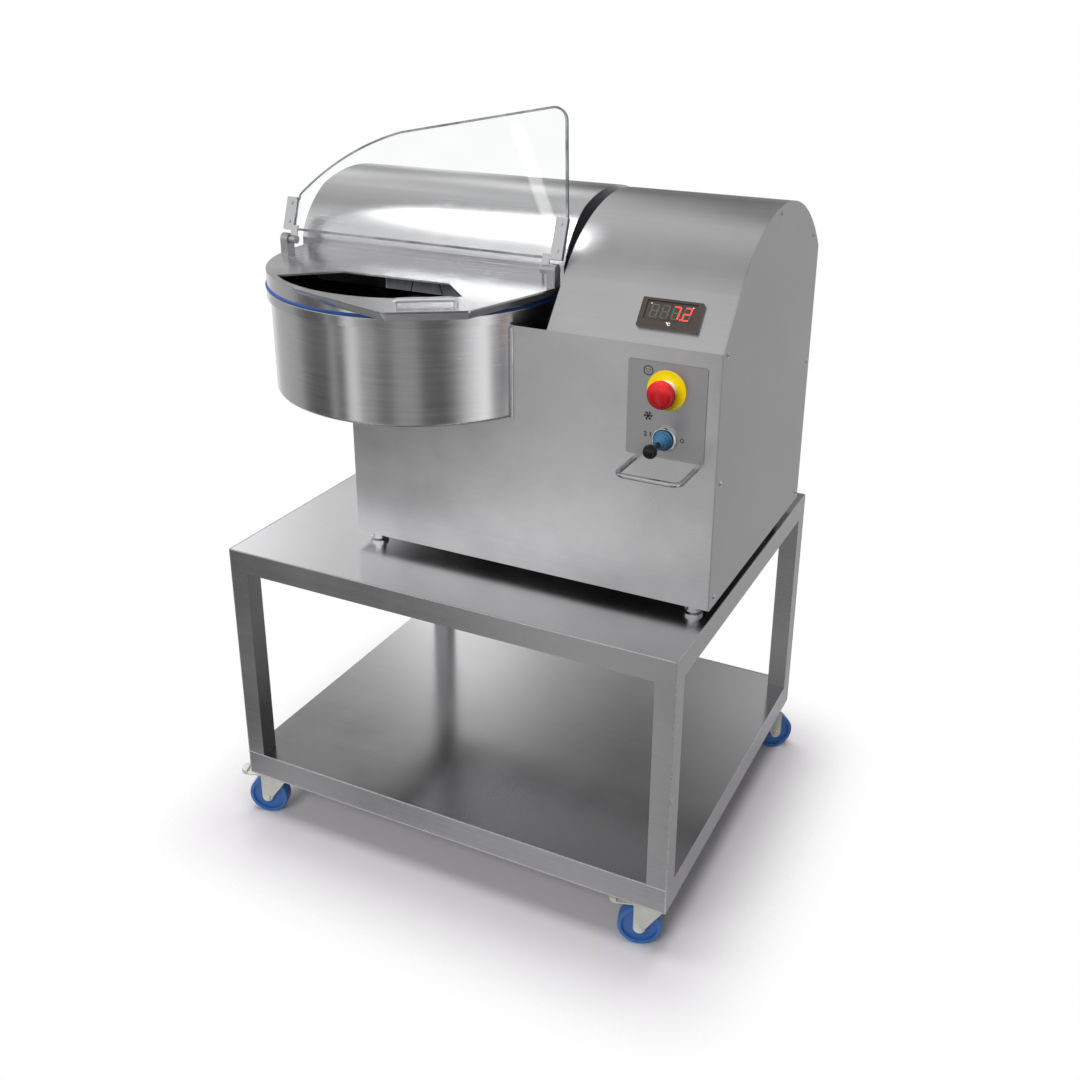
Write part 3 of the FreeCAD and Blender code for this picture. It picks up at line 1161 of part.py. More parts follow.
def knife_clamp():
    """Spacers between the blades, and the nut that clamps the stack."""
    gap = "knife_pitch - knife_thick"
    spacers = [ring("knife_spacer_%d" % (index + 1), "clamp_radius", "shaft_radius", gap,
                    f"{AXIS_X} + {index - 1} * knife_pitch + knife_thick / 2", KNIFE_Y, KNIFE_Z, TURN_TO_X)
               for index in range(2)]
    keep("knife_spacers", group("knife_spacers", spacers))
    nut = document.addObject("Part::Prism", "knife_nut_blank")
    nut.Polygon = 6
    bind(nut, Circumradius="clamp_radius", Height="nut_length")
    put(nut, f"{AXIS_X} - {STACK} - nut_length", KNIFE_Y, KNIFE_Z, TURN_TO_X)
    bore = rod("knife_nut_bore", "shaft_radius", "4 * nut_length", f"{AXIS_X} - 3 * nut_length", KNIFE_Y,
               KNIFE_Z, TURN_TO_X)
    keep("knife_nut", cut("knife_nut", nut, [bore]))


# Lid

ABOUT_AXIS = FreeCAD.Rotation(FreeCAD.Vector(0, 0, 1), 1)


def tab_corners():
    return [("-tab_half", "-tab_reach", ("round", "tab_corner")),
            ("tab_half", "-tab_reach", ("round", "tab_corner")),
            ("tab_wing", "-tab_wing_right"), ("tab_half", "0"), ("-tab_half", "0"),
            ("-tab_wing", "-tab_wing_left")]


def arm_slot(name, top):
    """Open-bottomed slot that lets the lid drop over the bearing arm."""
    return box(name, (AXIS_X, f"{KNIFE_Y} - arm_radius - arm_clear", f"{RIM} - 1"),
               (f"{AXIS_X} + lid_right + 5", f"{KNIFE_Y} + arm_radius + arm_clear", top))


def lid_plate():
    disc = rod("lid_disc", "lid_radius", "lid_sheet", AXIS_X, AXIS_Y, LID_UNDER)
    square = box("lid_square", (f"{AXIS_X} - lid_left", f"{AXIS_Y} - lid_square_front", LID_UNDER),
                 (f"{AXIS_X} + lid_right", f"{AXIS_Y} + lid_back", LID_TOP))
    tab = put(padded("lid_tab", "XY", tab_corners(), "lid_sheet"), AXIS_X, AXIS_Y, LID_UNDER, ABOUT_AXIS,
              "tab_turn")
    skirt_low = f"({RIM} + skirt_gap)"
    skirt = ring("lid_skirt", "lid_radius", "lid_radius - lid_sheet", f"{LID_UNDER} - {skirt_low}",
                 AXIS_X, AXIS_Y, skirt_low)
    apron_body = new_body("lid_apron")
    drawing = new_sketch(apron_body, "XY")
    outline(drawing, tab_corners())
    slope = pad(apron_body, drawing, "apron_high", "-apron_taper")
    slope.Reversed = True
    put(apron_body, AXIS_X, AXIS_Y, LID_UNDER, ABOUT_AXIS, "tab_turn")
    inside = rod("apron_inside", "lid_radius - lid_sheet / 2", "100", AXIS_X, AXIS_Y, f"{LID_UNDER} - 50")
    apron = cut("lid_apron_trimmed", apron_body, [inside])
    mouth = padded("lid_mouth", "XY", [
        ("-mouth_left_x", "-mouth_left_y", ("through", "0", "-mouth_radius")),
                                       ("mouth_right_x", "-mouth_right_y"),
        ("mouth_back_right", "-mouth_back_right_y"), ("-mouth_back_left", "-mouth_back_left_y")], "40", "-20")
    put(mouth, AXIS_X, AXIS_Y, LID_TOP)
    well = box("lid_well", (f"{AXIS_X} - well_left", f"{AXIS_Y} + well_front", f"{LID_UNDER} - 1"),
               (f"{AXIS_X} + well_right", f"{AXIS_Y} + well_back", f"{LID_TOP} + 1"))
    probe_hole = rod("lid_probe_hole", "probe_radius", "40", f"{AXIS_X} - probe_left",
                     f"{AXIS_Y} + probe_back",
                     f"{LID_TOP} - 20")
    blank = union("lid_blank", [disc, square, tab, skirt, apron])
    keep("lid_plate", cut("lid_plate", blank,
                          [mouth, well, arm_slot("lid_arm_slot", f"{LID_TOP} + 1"), probe_hole]))


def lid_seal():
    low = f"({RIM} + seal_gap)"
    blank = ring("seal_ring", "lid_radius + 1", "lid_radius + 1 - seal_width", "skirt_gap - seal_gap",
                 AXIS_X, AXIS_Y, low)
    keep("lid_seal", cut("lid_seal", blank, [arm_slot("seal_arm_slot", LID_TOP)]))


def knife_hood():
    """Rounded cover over the knives, open below, with a slot for the arm in its right end."""
    body = new_body("hood_shell")
    drawing = new_sketch(body, "YZ")
    back = "(lid_back + hood_front)"
    outline(drawing, [
        ("0", "0"), (back, "0"), (back, "hood_rear_high", ("through", "hood_crown_back", "hood_crown_high")),
        ("hood_knee_back", "hood_knee_high", ("through", "hood_mid_back", "hood_mid_high")),
                      ("0", "hood_brow")])
    base = pad(body, drawing, "hood_left + hood_right")
    document.recompute()
    shell = body.newObject("PartDesign::Thickness", "hood_hollow")
    shell.Base = (base, faces_at(base, "z", 0))
    bind(shell, Value="hood_sheet")
    shell.Join = 1
    put(body, f"{AXIS_X} - hood_left", f"{AXIS_Y} - hood_front", LID_TOP)
    rail = box("hood_rail", (f"{AXIS_X} - hood_left + 14", f"{AXIS_Y} - hood_front - hood_rail_thick",
                             LID_TOP),
               (f"{AXIS_X} + hood_right - 37", f"{AXIS_Y} - hood_front", f"{LID_TOP} + hood_rail"))
    slot_top = f"({KNIFE_Z} + arm_radius + arm_clear)"
    keep("knife_hood", cut("knife_hood", union("hood_blank", [body, rail]),
                           [arm_slot("hood_arm_slot", slot_top)]))


def lid_baffle():
    low = f"({RIM} - baffle_below_rim)"
    narrow = "(baffle_half - baffle_below_rim)"
    body = padded("lid_baffle", "XZ", [
        (f"-{narrow}", "0", ("round", "8")), (narrow, "0", ("round", "8")),
        ("baffle_half", f"{LID_UNDER} - {low}"), ("-baffle_half", f"{LID_UNDER} - {low}")], "baffle_thick")
    keep("lid_baffle", put(body, AXIS_X, f"{AXIS_Y} - baffle_front", low))


def lid_grip():
    """Low bar with turned-down ends, across the tab."""
    body = new_body("lid_grip_bar")
    path = new_sketch(body, "XZ")
    half = "(grip_length / 2)"
    outline(path, [(f"-{half}", "0"), (f"-{half}", "grip_over_lid", ("round", "1.2 * grip_radius")),
                   (half, "grip_over_lid", ("round", "1.2 * grip_radius")), (half, "0")], closed=False)
    section = new_sketch(body, "XY")
    circle(section, "grip_radius", f"-{half}", "0")
    pipe = body.newObject("PartDesign::AdditivePipe", "grip_pipe")
    pipe.Profile = section
    pipe.Spine = (path, ["Edge%d" % index for index in range(1, 6)])
    put(body, f"{AXIS_X} + grip_from_axis * sin(tab_turn)", f"{AXIS_Y} - grip_from_axis * cos(tab_turn)",
        LID_TOP,
        ABOUT_AXIS, "tab_turn")
    keep("lid_grip", body)


def temperature_probe():
    low = f"({LID_TOP} - {RIM} + probe_below_rim)"
    keep("temperature_probe", turned("temperature_probe", [
        ("0", f"-{low}"), ("probe_radius / 2", f"-{low}"), ("probe_radius", f"-{low} + 8"),
                                                           ("probe_radius", "0"),
        ("probe_head", "0"), ("probe_head", "probe_head_high - 4"), ("probe_head - 4", "probe_head_high"),
        ("0", "probe_head_high")], f"{AXIS_X} - probe_left", f"{AXIS_Y} + probe_back", LID_TOP))


def hinge_eye(name, x, width, bore, foot_low, foot_high):
    """Round eye on the hinge axis with a square foot that reaches its carrier."""
    eye = rod(name + "_eye", "hinge_eye", width, x, HINGE_Y, HINGE_Z, TURN_TO_X)
    foot = box(name + "_foot", (x,) + foot_low, (f"{x} + {width}",) + foot_high)
    hole = rod(name + "_hole", bore, f"3 * {width}", f"{x} - {width}", HINGE_Y, HINGE_Z, TURN_TO_X)
    return cut(name, union(name + "_blank", [eye, foot]), [hole])


def lid_hinge():
    """Two arms on the lid between pairs of blocks on the column, on one pin."""
    arms = []
    fixed = []
    lid_edge = f"({AXIS_Y} + lid_back)"
    column_top = f"({DECK} + column_height)"
    lefts = [f"({AXIS_X} - lid_left + hinge_left)", f"({AXIS_X} + lid_right - hinge_right)"]
    for index, x in enumerate(lefts):
        arms.append(hinge_eye("hinge_arm_%d" % index, x, "hinge_arm_wide", "hinge_pin + hinge_play",
                              (lid_edge, f"{HINGE_Z} - hinge_eye / 2"), (HINGE_Y, f"{HINGE_Z} + hinge_eye")))
        blocks = [f"({x} - hinge_side_gap - hinge_block_wide)", f"({x} + hinge_arm_wide + hinge_side_gap)"]
        for side, block_x in enumerate(blocks):
            fixed.append(hinge_eye("hinge_block_%d%d" % (index, side), block_x, "hinge_block_wide",
                                   "hinge_pin",
                                   (f"{HINGE_Y} - hinge_eye", column_top),
                                   (f"{HINGE_Y} + hinge_eye", HINGE_Z)))
        fixed.append(rod("hinge_pin_%d" % index, "hinge_pin",
                         "hinge_arm_wide + 2 * hinge_side_gap + 2 * hinge_block_wide + 6", f"{blocks[0]} - 3",
                         HINGE_Y, HINGE_Z, TURN_TO_X))
    keep("lid_hinge_arms", group("lid_hinge_arms", arms))
    keep("lid_hinge_blocks", group("lid_hinge_blocks", fixed))


# Clear flap: barrels sit just inside the two posts

POSTS = [
    (f"({AXIS_X} - ear_left + 2)", 1),
    (f"({AXIS_X} + flap_right - post_wide / 2 - 12)", -1),
]


def barrel_left(post_x, side):
    return f"({post_x} + post_wide + post_gap)" if side > 0 else f"({post_x} - post_gap - barrel_wide)"


def flap_posts():
    pieces = []
    for index, (x, side) in enumerate(POSTS):
        eye = rod("post_eye_%d" % index, "post_deep / 2", "post_wide", x, FLAP_Y, FLAP_Z, TURN_TO_X)
        foot = box("post_foot_%d" % index, (x, f"{FLAP_Y} - post_deep / 2", LID_TOP),
                   (f"{x} + post_wide", f"{FLAP_Y} + post_deep / 2", FLAP_Z))
        hole = rod("post_hole_%d" % index, "flap_pin", "3 * post_wide", f"{x} - post_wide", FLAP_Y, FLAP_Z,
                   TURN_TO_X)
        pieces.append(cut("flap_post_%d" % index, union("post_blank_%d" % index, [eye, foot]), [hole]))
        start = x if side > 0 else barrel_left(x, side)
        pieces.append(rod("flap_pin_%d" % index, "flap_pin", "post_wide + post_gap + barrel_wide", start,
                          FLAP_Y, FLAP_Z, TURN_TO_X))
    keep("flap_posts", group("flap_posts", pieces))


def lean(thing):
    """Stand a piece of the flap on its hinge axis, leaning back. It is modelled upright over the origin."""
    backward = FreeCAD.Rotation(FreeCAD.Vector(-1, 0, 0), 1)
    return put(thing, AXIS_X, FLAP_Y, FLAP_Z, backward, "flap_lean")


def flap():
    keep("flap", lean(padded("flap", "XZ", [
        ("-ear_left", "flap_foot"), ("flap_right", "flap_foot"), ("flap_right", "flap_right_high"),
        ("flap_peak_x", "flap_peak_high", ("round", "flap_peak_round")),
        ("-flap_bend_x", "flap_bend_high", ("through", "-flap_curve_x", "flap_curve_high")),
        ("-flap_left", "flap_left_high"), ("-flap_left", "ear_high"), ("-ear_left", "ear_high")],
                             "flap_sheet")))


def flap_brackets():
    pieces = []
    ends = [("-ear_left", "ear_high"), ("flap_right - strip_width", "strip_top")]
    for index, (post_x, side) in enumerate(POSTS):
        x = f"({barrel_left(post_x, side)} - {AXIS_X})"
        barrel = rod("barrel_%d" % index, "barrel_radius", "barrel_wide", x, "0", "0", TURN_TO_X)
        bore = rod("barrel_bore_%d" % index, "flap_pin + hinge_play", "3 * barrel_wide", f"{x} - barrel_wide",
                   "0", "0", TURN_TO_X)
        neck = box("neck_%d" % index, (x, "-strip_thick", "0"), (f"{x} + barrel_wide", "0", "flap_foot + 4"))
        left = f"({ends[index][0]})"
        top = ends[index][1]
        joint_low = [left, x][index] if index == 0 else x
        joint_high = f"{x} + barrel_wide" if index == 0 else f"{left} + strip_width"
        strip = box("strip_%d" % index, (left, "-strip_thick", "flap_foot"),
                    (f"{left} + strip_width", "0", top))
        foot = box("strip_foot_%d" % index, (joint_low, "-strip_thick", "flap_foot"),
                   (joint_high, "0", "flap_foot + 8"))
        heads = [rod("strip_screw_%d%d" % (index, row), "strip_screw", "1.5", f"{left} + strip_width / 2",
                     "-strip_thick", place, TURN_TO_FRONT)
                 for row, place in enumerate((f"{top} - 10", "flap_foot + 14"))]
        pieces.append(cut("flap_bracket_%d" % index,
                          union("bracket_blank_%d" % index, [barrel, neck, strip, foot] + heads),
                          [bore]))
        pieces.append(box("backing_strip_%d" % index, (left, "flap_sheet", "flap_foot"),
                          (f"{left} + strip_width", "flap_sheet + strip_thick", top)))
    keep("flap_brackets", lean(group("flap_brackets", pieces)))


# Controls

def control_plate():
    half = "(control_width / 2)"
    body = padded("control_plate", "XZ", rectangle(f"-{half}", half, "control_bottom",
                                                   "control_bottom + control_height",
                                                   "control_corner"), "control_thick")
    keep("control_plate", put(body, CONTROL_X, PANEL_FACE, BASE))


def estop():
    z = f"{BASE} + estop_over_base"
    disc = "estop_disc_thick"
    bore = "(estop_stem + estop_stem_play)"
    top = f"({disc} + estop_collar_high)"
    keep("estop_disc", ring("estop_disc", "estop_disc", "estop_collar", disc, CONTROL_X, PANEL_FACE, z,
                            TURN_TO_FRONT))
    keep("estop_collar", turned("estop_collar", [
        (bore, "0"), ("estop_collar", "0"), ("estop_collar", f"{top} - 3"), ("estop_collar - 2", top),
                                                 (bore, top)],
        CONTROL_X, PANEL_FACE, z, TURN_TO_FRONT))
    head = f"({top} + estop_travel + 1)"
    crown = f"({head} + estop_head_high)"
    keep("estop_button", turned("estop_button", [
        ("0", "estop_travel + 1"), ("estop_stem", "estop_travel + 1"), ("estop_stem", head),
                                                 ("estop_head - 3", head),
        ("estop_head", f"{head} + 3"), ("estop_head", f"{crown} - 7",
                                        ("through", "estop_head - 4", f"{crown} - 2")),
        ("estop_head / 2", crown), ("0", crown)], CONTROL_X, PANEL_FACE, z, TURN_TO_FRONT))


def lever_switch():
    z = f"{BASE} + lever_over_base"
    bore = "(boot_radius + boot_play)"
    collar = turned("switch_collar", [
        (bore, "0"), ("lever_ring", "0"), ("lever_ring", "lever_ring_high - 2"),
                                      ("lever_ring - 1.5", "lever_ring_high"),
        (bore, "lever_ring_high")], CONTROL_X, PANEL_FACE, z, TURN_TO_FRONT)
    pivot = turned("switch_pivot", [
        ("0", "0"), ("pivot_neck", "0"),
        ("pivot_neck", "pivot_high - sqrt(pivot_ball ^ 2 - pivot_neck ^ 2)",
         ("through", "pivot_ball", "pivot_high")),
        ("0", "pivot_high + pivot_ball")], CONTROL_X, PANEL_FACE, z, TURN_TO_FRONT)
    keep("lever_ring", group("lever_ring", [collar, pivot]))
    foot = "boot_foot"
    ribs = 3
    rib = f"((boot_length - {foot}) / {ribs + 1})"
    socket = "(pivot_ball + pivot_play)"
    corners = [("0", f"pivot_high + {socket}",
                ("through", f"{socket} * sin(45)", f"pivot_high + {socket} * cos(45)")),
               (socket, "pivot_high"), (socket, foot), ("boot_radius - 1", foot),
               ("boot_radius", f"{foot} + 1.5")]
    for index in range(ribs):
        shrink = 2.1 * index
        base = f"{foot} + {index} * {rib}"
        corners.append((f"boot_radius - {shrink:.1f}", f"{base} + 0.75 * {rib}"))
        corners.append((f"boot_radius - {shrink + 3:.1f}", f"{base} + {rib}"))
    corners += [("lever_rod + 1.5", "boot_length"), ("0", "boot_length")]
    keep("lever_boot", turned("lever_boot", corners, CONTROL_X, PANEL_FACE, z, TURN_TO_FRONT))
    rod_end = "(lever_reach - 0.8 * ball_radius)"
    reach = "(lever_reach - control_thick)"
    keep("switch_lever", turned("switch_lever", [
        ("0", "boot_length"), ("lever_rod", "boot_length"), ("lever_rod", f"{reach} - ball_radius"),
        ("lever_rod", f"{reach} - sqrt(ball_radius ^ 2 - lever_rod ^ 2)", ("through", "ball_radius", reach)),
        ("0", f"{reach} + ball_radius")], CONTROL_X, PANEL_FACE, z, TURN_TO_FRONT))


def guard_bar():
    body = new_body("guard_bar")
    path = new_sketch(body, "XY")
    outline(path, [("-guard_half", "0"), ("-guard_half", "-guard_reach", ("round", "guard_bend")),
                   ("guard_half", "-guard_reach", ("round", "guard_bend")), ("guard_half", "0")],
            closed=False)
    section = new_sketch(body, "XZ")
    circle(section, "guard_radius", "-guard_half", "0")
    pipe = body.newObject("PartDesign::AdditivePipe", "guard_pipe")
    pipe.Profile = section
    pipe.Spine = (path, ["Edge%d" % index for index in range(1, 6)])
    keep("guard_bar", put(body, CONTROL_X, FRONT, f"{BASE} + guard_over_base"))


def display():
    """Temperature display, flat on the housing's slope."""
    half_x = "(display_width / 2)"
    half_y = "(display_high / 2)"
    on_slope = FreeCAD.Rotation(FreeCAD.Vector(1, 0, 0), 1)
    place = (f"{RIGHT} - display_from_right", f"{FRONT} + display_up_slope * cos({SLOPE_ANGLE})",
             f"{FRONT_TOP} + display_up_slope * sin({SLOPE_ANGLE})")
    bezel = padded("bezel_blank", "XY", rectangle(f"-{half_x}", half_x, f"-{half_y}", half_y,
                                                  "display_round"),
                   "display_thick")
    floor = "display_thick - window_deep"
    recess = box("bezel_recess", (f"-{half_x} + window_inset", f"-{half_y} + window_inset + 5", floor),
                 (f"{half_x} - window_inset", f"{half_y} - window_inset / 2", "display_thick + 1"))
    frame = cut("bezel_cut", bezel, [recess])
    keep("display_bezel", put(group("display_bezel", [frame]), *place, on_slope, SLOPE_ANGLE))


for build in (trolley_frame, table_top, shelf, caster_plates):
    build()
for caster, (caster_x, caster_y, caster_turn, caster_braked) in CASTERS.items():
    caster_fork(caster, caster_x, caster_y, caster_turn, caster_braked)
    caster_wheel(caster, caster_x, caster_y, caster_turn)
    if caster_braked:
        brake_pedal(caster, caster_x, caster_y, caster_turn)
for build in (main_casing, drive_cover, right_side_panel, panel_screws, base_plate, machine_feet, deck_plate,
              cable_gland, bowl_surround, bowl, bowl_spindle, bowl_bearing_housing, bowl_gearmotor,
              ball_bearings,
              bearing_arm, drive_frame, knife_motor, knife_belt, knife_shaft, knife_blades, knife_clamp,
              lid_plate,
              lid_seal, knife_hood, lid_baffle, lid_grip, temperature_probe, lid_hinge, flap_posts, flap,
              flap_brackets, control_plate, estop, lever_switch, guard_bar, display):
    build()
pulley("motor_pulley", "motor_pulley_radius", "motor_shaft", MOTOR_Z,
       f"({PULLEY_RIGHT} - pulley_width - {MOTOR_RIGHT} + motor_socket)")
pulley("knife_shaft_pulley", "shaft_pulley_radius", "shaft_radius", KNIFE_Z)

document.recompute()

broken = [thing.Label for thing in document.Objects if "Invalid" in thing.State or "Error" in thing.State]
for name, thing in nodes.items():
    if thing.Shape.isNull() or not thing.Shape.isValid() or not thing.Shape.Solids:
        broken.append(name)
if broken:
    raise RuntimeError("No sound shape: " + ", ".join(broken))

os.makedirs("parts", exist_ok=True)
for name, thing in nodes.items():
    thing.Shape.exportStep("parts/%s.step" % name)
print("%d sub-parts written" % len(nodes))
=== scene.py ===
"""A meat bowl cutter on a wheeled stainless stand, seen from its right front.

Every object is in metres, with the floor at z = 0 and the front towards -Y.
"""
import math

import bpy
from mathutils import Matrix, Vector


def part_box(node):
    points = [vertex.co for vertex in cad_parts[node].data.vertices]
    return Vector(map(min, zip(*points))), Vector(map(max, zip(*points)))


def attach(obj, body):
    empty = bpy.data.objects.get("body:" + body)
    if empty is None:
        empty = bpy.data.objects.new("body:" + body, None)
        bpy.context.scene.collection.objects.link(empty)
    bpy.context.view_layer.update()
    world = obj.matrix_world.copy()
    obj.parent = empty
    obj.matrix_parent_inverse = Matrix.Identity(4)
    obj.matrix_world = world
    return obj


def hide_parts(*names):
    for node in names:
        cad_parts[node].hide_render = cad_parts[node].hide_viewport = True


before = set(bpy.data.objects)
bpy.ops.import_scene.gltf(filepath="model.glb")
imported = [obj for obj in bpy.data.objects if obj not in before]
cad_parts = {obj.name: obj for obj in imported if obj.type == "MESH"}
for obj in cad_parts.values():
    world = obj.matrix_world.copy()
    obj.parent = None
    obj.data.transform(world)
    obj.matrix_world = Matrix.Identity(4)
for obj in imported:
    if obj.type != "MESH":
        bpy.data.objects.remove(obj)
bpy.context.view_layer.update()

MILLIMETRE = 0.001
SMOOTH_ANGLE = math.radians(40)
IN_PLACE = Matrix.Identity(4)
# Turns a piece that was made lying on the floor, face up, to face the front
FACING_FRONT = Matrix(((1, 0, 0, 0), (0, 0, -1, 0), (0, 1, 0, 0), (0, 0, 0, 1)))


# Places on the machine

BOWL_AXIS = (-0.1456, -0.0734)
CONTROL_Y = -0.1919
DISPLAY = Vector((0.3359, -0.1594, 1.0460))
SLOPE = math.radians(50.77)
FLAP_LEAN = math.radians(20.0)
FLAP_OUT = Vector((0, -math.cos(FLAP_LEAN), math.sin(FLAP_LEAN)))
SEAM = Vector((0.0850, -0.1910, 0.8550))
# Signs on the control plate: place to the right, and height
STOP_SIGN = (0.3161, 0.9689)
KNIVES_SIGN = (0.3183, 0.8978)
TWO_SIGN = (0.3147, 0.8680)
ONE_SIGN = (0.3231, 0.8680)
ZERO_SIGN = (0.3742, 0.8665)


# Node trees

# Ends between which most of a noise texture lies
NOISE_LOW = 0.3
NOISE_HIGH = 0.7


def tree_of(name):
    material = bpy.data.materials.new(name)
    material.use_nodes = True
    tree = material.node_tree
    shader = tree.nodes["Principled BSDF"]
    return material, tree, shader


def add(tree, kind, inputs=None, **settings):
    node = tree.nodes.new("ShaderNode" + kind)
    for key, value in settings.items():
        setattr(node, key, value)
    for key, value in (inputs or {}).items():
        socket = node.inputs[key]
        if isinstance(value, bpy.types.NodeSocket):
            tree.links.new(value, socket)
        else:
            socket.default_value = value
    return node


def math_node(tree, operation, *values):
    return add(tree, "Math", dict(enumerate(values)), operation=operation).outputs[0]


def product(tree, *values):
    result = values[0]
    for value in values[1:]:
        result = math_node(tree, "MULTIPLY", result, value)
    return result


def along(tree, first, second):
    """How far one direction points along another."""
    return add(tree, "VectorMath", {0: first, 1: second}, operation="DOT_PRODUCT").outputs["Value"]


def object_point(tree):
    return add(tree, "TexCoord").outputs["Object"]


def parts_of(tree, vector):
    return add(tree, "SeparateXYZ", {"Vector": vector}).outputs


def ramp(tree, value, *stops):
    """A grey ramp through (position, tone) stops."""
    node = add(tree, "ValToRGB", {"Fac": value})
    band = node.color_ramp
    while len(band.elements) > 1:
        band.elements.remove(band.elements[-1])
    for index, (place, tone) in enumerate(stops):
        element = band.elements[0] if index == 0 else band.elements.new(place)
        element.position = place
        element.color = (tone, tone, tone, 1)
    return node.outputs["Color"]


def remap(tree, value, low, high, to_low, to_high):
    return add(tree, "MapRange", {"Value": value, "From Min": low, "From Max": high, "To Min": to_low,
                                  "To Max": to_high}).outputs["Result"]


def spread(tree, value, to_low, to_high):
    """A noise value, spread from one end to the other."""
    return remap(tree, value, NOISE_LOW, NOISE_HIGH, to_low, to_high)


def noise(tree, point, scale, detail=3.0, roughness=0.55):
    return add(tree, "TexNoise", {"Vector": point, "Scale": scale, "Detail": detail,
                                  "Roughness": roughness}).outputs["Fac"]


def scaled(tree, point, factors):
    return add(tree, "Mapping", {"Vector": point, "Scale": factors}).outputs["Vector"]


def mixed(tree, first, second, share, **settings):
    return add(tree, "Mix", {"A": first, "B": second, "Factor": share}, data_type="RGBA",
               **settings).outputs["Result"]


def two_tones(tree, colour, change, share):
    """From a little darker than a colour to a little lighter."""
    dark, light = ([min(1.0, channel * part) for channel in colour] for part in (1 - change, 1 + change))
    return mixed(tree, (*dark, 1), (*light, 1), share)


def link(tree, shader, **outputs):
    for name, output in outputs.items():
        tree.links.new(output, shader.inputs[name.replace("_", " ")])


def engrave(tree, shader, height, strength, depth):
    """Bump of a depth in millimetres."""
    bump = add(tree, "Bump", {"Height": height, "Strength": strength, "Distance": depth * MILLIMETRE})
    link(tree, shader, Normal=bump.outputs["Normal"])


TURN_SCALE = 0.1


def turned_point(tree, point, axis):
    """A slow angle round a vertical axis, radius and height, as a point for turned grain."""
    parts = parts_of(tree, point)
    x = math_node(tree, "SUBTRACT", parts["X"], axis[0])
    y = math_node(tree, "SUBTRACT", parts["Y"], axis[1])
    radius = math_node(tree, "SQRT", math_node(tree, "ADD", product(tree, x, x), product(tree, y, y)))
    angle = math_node(tree, "ARCTAN2", y, x)
    return add(tree, "CombineXYZ", {"X": product(tree, angle, TURN_SCALE), "Y": radius,
                                    "Z": parts["Z"]}).outputs["Vector"]


GRAIN_SCALE = {"x": (4, 1100, 1100), "y": (1100, 4, 1100), "z": (1100, 1100, 4), "round": (30, 1100, 1100)}
GRAIN_LINE = {"x": (1, 0, 0), "y": (0, 1, 0), "z": (0, 0, 1)}
HAIR_SHARE = 0.65
WIDE_GRAIN = 0.12
PATCH_SCALE = 5.0
PATCH_ROUGH = 0.03
STEEL_BLUE = 1.015
QUARTER = 0.25


def brushed_steel(name, grain, tone=0.6, rough=0.3, streak=0.1, cloud=0.1, depth=0.02, stretch=0.5,
                  painted_light=None):
    """Satin stainless steel with grain along one line, or round the bowl's axis.

    streak and cloud are the shares by which the tone changes with the grain and in patches, depth is
    the grain's in millimetres, and stretch says how far the grain draws out what it mirrors.
    The last argument is (line, low, high, share at low, share at high): the tone changes along that line.
    It is painted light and shade, which stands in for light that falls unevenly across the sheet, and isn't a
    property of the steel.
    """
    material, tree, shader = tree_of(name)
    point = object_point(tree)
    line = turned_point(tree, point, BOWL_AXIS) if grain == "round" else point
    scale = GRAIN_SCALE[grain]
    hair = noise(tree, scaled(tree, line, scale), 1.0, 2.0, 0.7)
    wide = noise(tree, scaled(tree, line, [value * WIDE_GRAIN for value in scale]), 1.0, 2.0)
    patch = noise(tree, point, PATCH_SCALE, 4.0)
    grainy = math_node(tree, "ADD", product(tree, hair, HAIR_SHARE), product(tree, wide, 1 - HAIR_SHARE))
    lines = spread(tree, grainy, 1 - streak, 1 + streak)
    clouds = spread(tree, patch, 1 - cloud, 1 + cloud)
    shade = product(tree, lines, clouds, tone)
    if painted_light:
        place = parts_of(tree, point)[painted_light[0]]
        shade = product(tree, shade, remap(tree, place, *painted_light[1:]))
    blue = product(tree, shade, STEEL_BLUE)
    colour = add(tree, "CombineColor", {"Red": shade, "Green": shade, "Blue": blue})
    roughness = math_node(tree, "ADD", spread(tree, grainy, rough - streak / 2, rough + streak / 2),
                          spread(tree, patch, -PATCH_ROUGH, PATCH_ROUGH))
    if grain == "round":
        way = add(tree, "Tangent", direction_type="RADIAL", axis="Z").outputs["Tangent"]
    else:
        flat = add(tree, "CombineXYZ", dict(zip("XYZ", GRAIN_LINE[grain]))).outputs["Vector"]
        way = add(tree, "VectorTransform", {"Vector": flat}, vector_type="VECTOR", convert_from="OBJECT",
                  convert_to="WORLD").outputs["Vector"]
    link(tree, shader, Base_Color=colour.outputs["Color"], Roughness=roughness, Tangent=way)
    engrave(tree, shader, grainy, 0.1, depth)
    shader.inputs["Metallic"].default_value = 1.0
    shader.inputs["Anisotropic"].default_value = stretch
    shader.inputs["Anisotropic Rotation"].default_value = QUARTER
    return material


MARK_SCALE = 120.0
MARK_TONE = 0.06
MARK_DEPTH = 0.04


def bright_metal(name, colour, rough):
    """Turned or polished metal with fine marks."""
    material, tree, shader = tree_of(name)
    point = object_point(tree)
    fine = noise(tree, point, MARK_SCALE, 3.0)
    broad = noise(tree, point, MARK_SCALE * 0.15, 2.0)
    link(tree, shader, Base_Color=two_tones(tree, colour, MARK_TONE, spread(tree, broad, 0, 1)),
         Roughness=spread(tree, fine, rough * 0.8, rough * 1.25))
    engrave(tree, shader, fine, 0.15, MARK_DEPTH)
    shader.inputs["Metallic"].default_value = 1.0
    return material


MOULD_PATCH = 35.0
MOULD_FINE_ROUGH = 0.04
MOULD_PATCH_ROUGH = 0.03


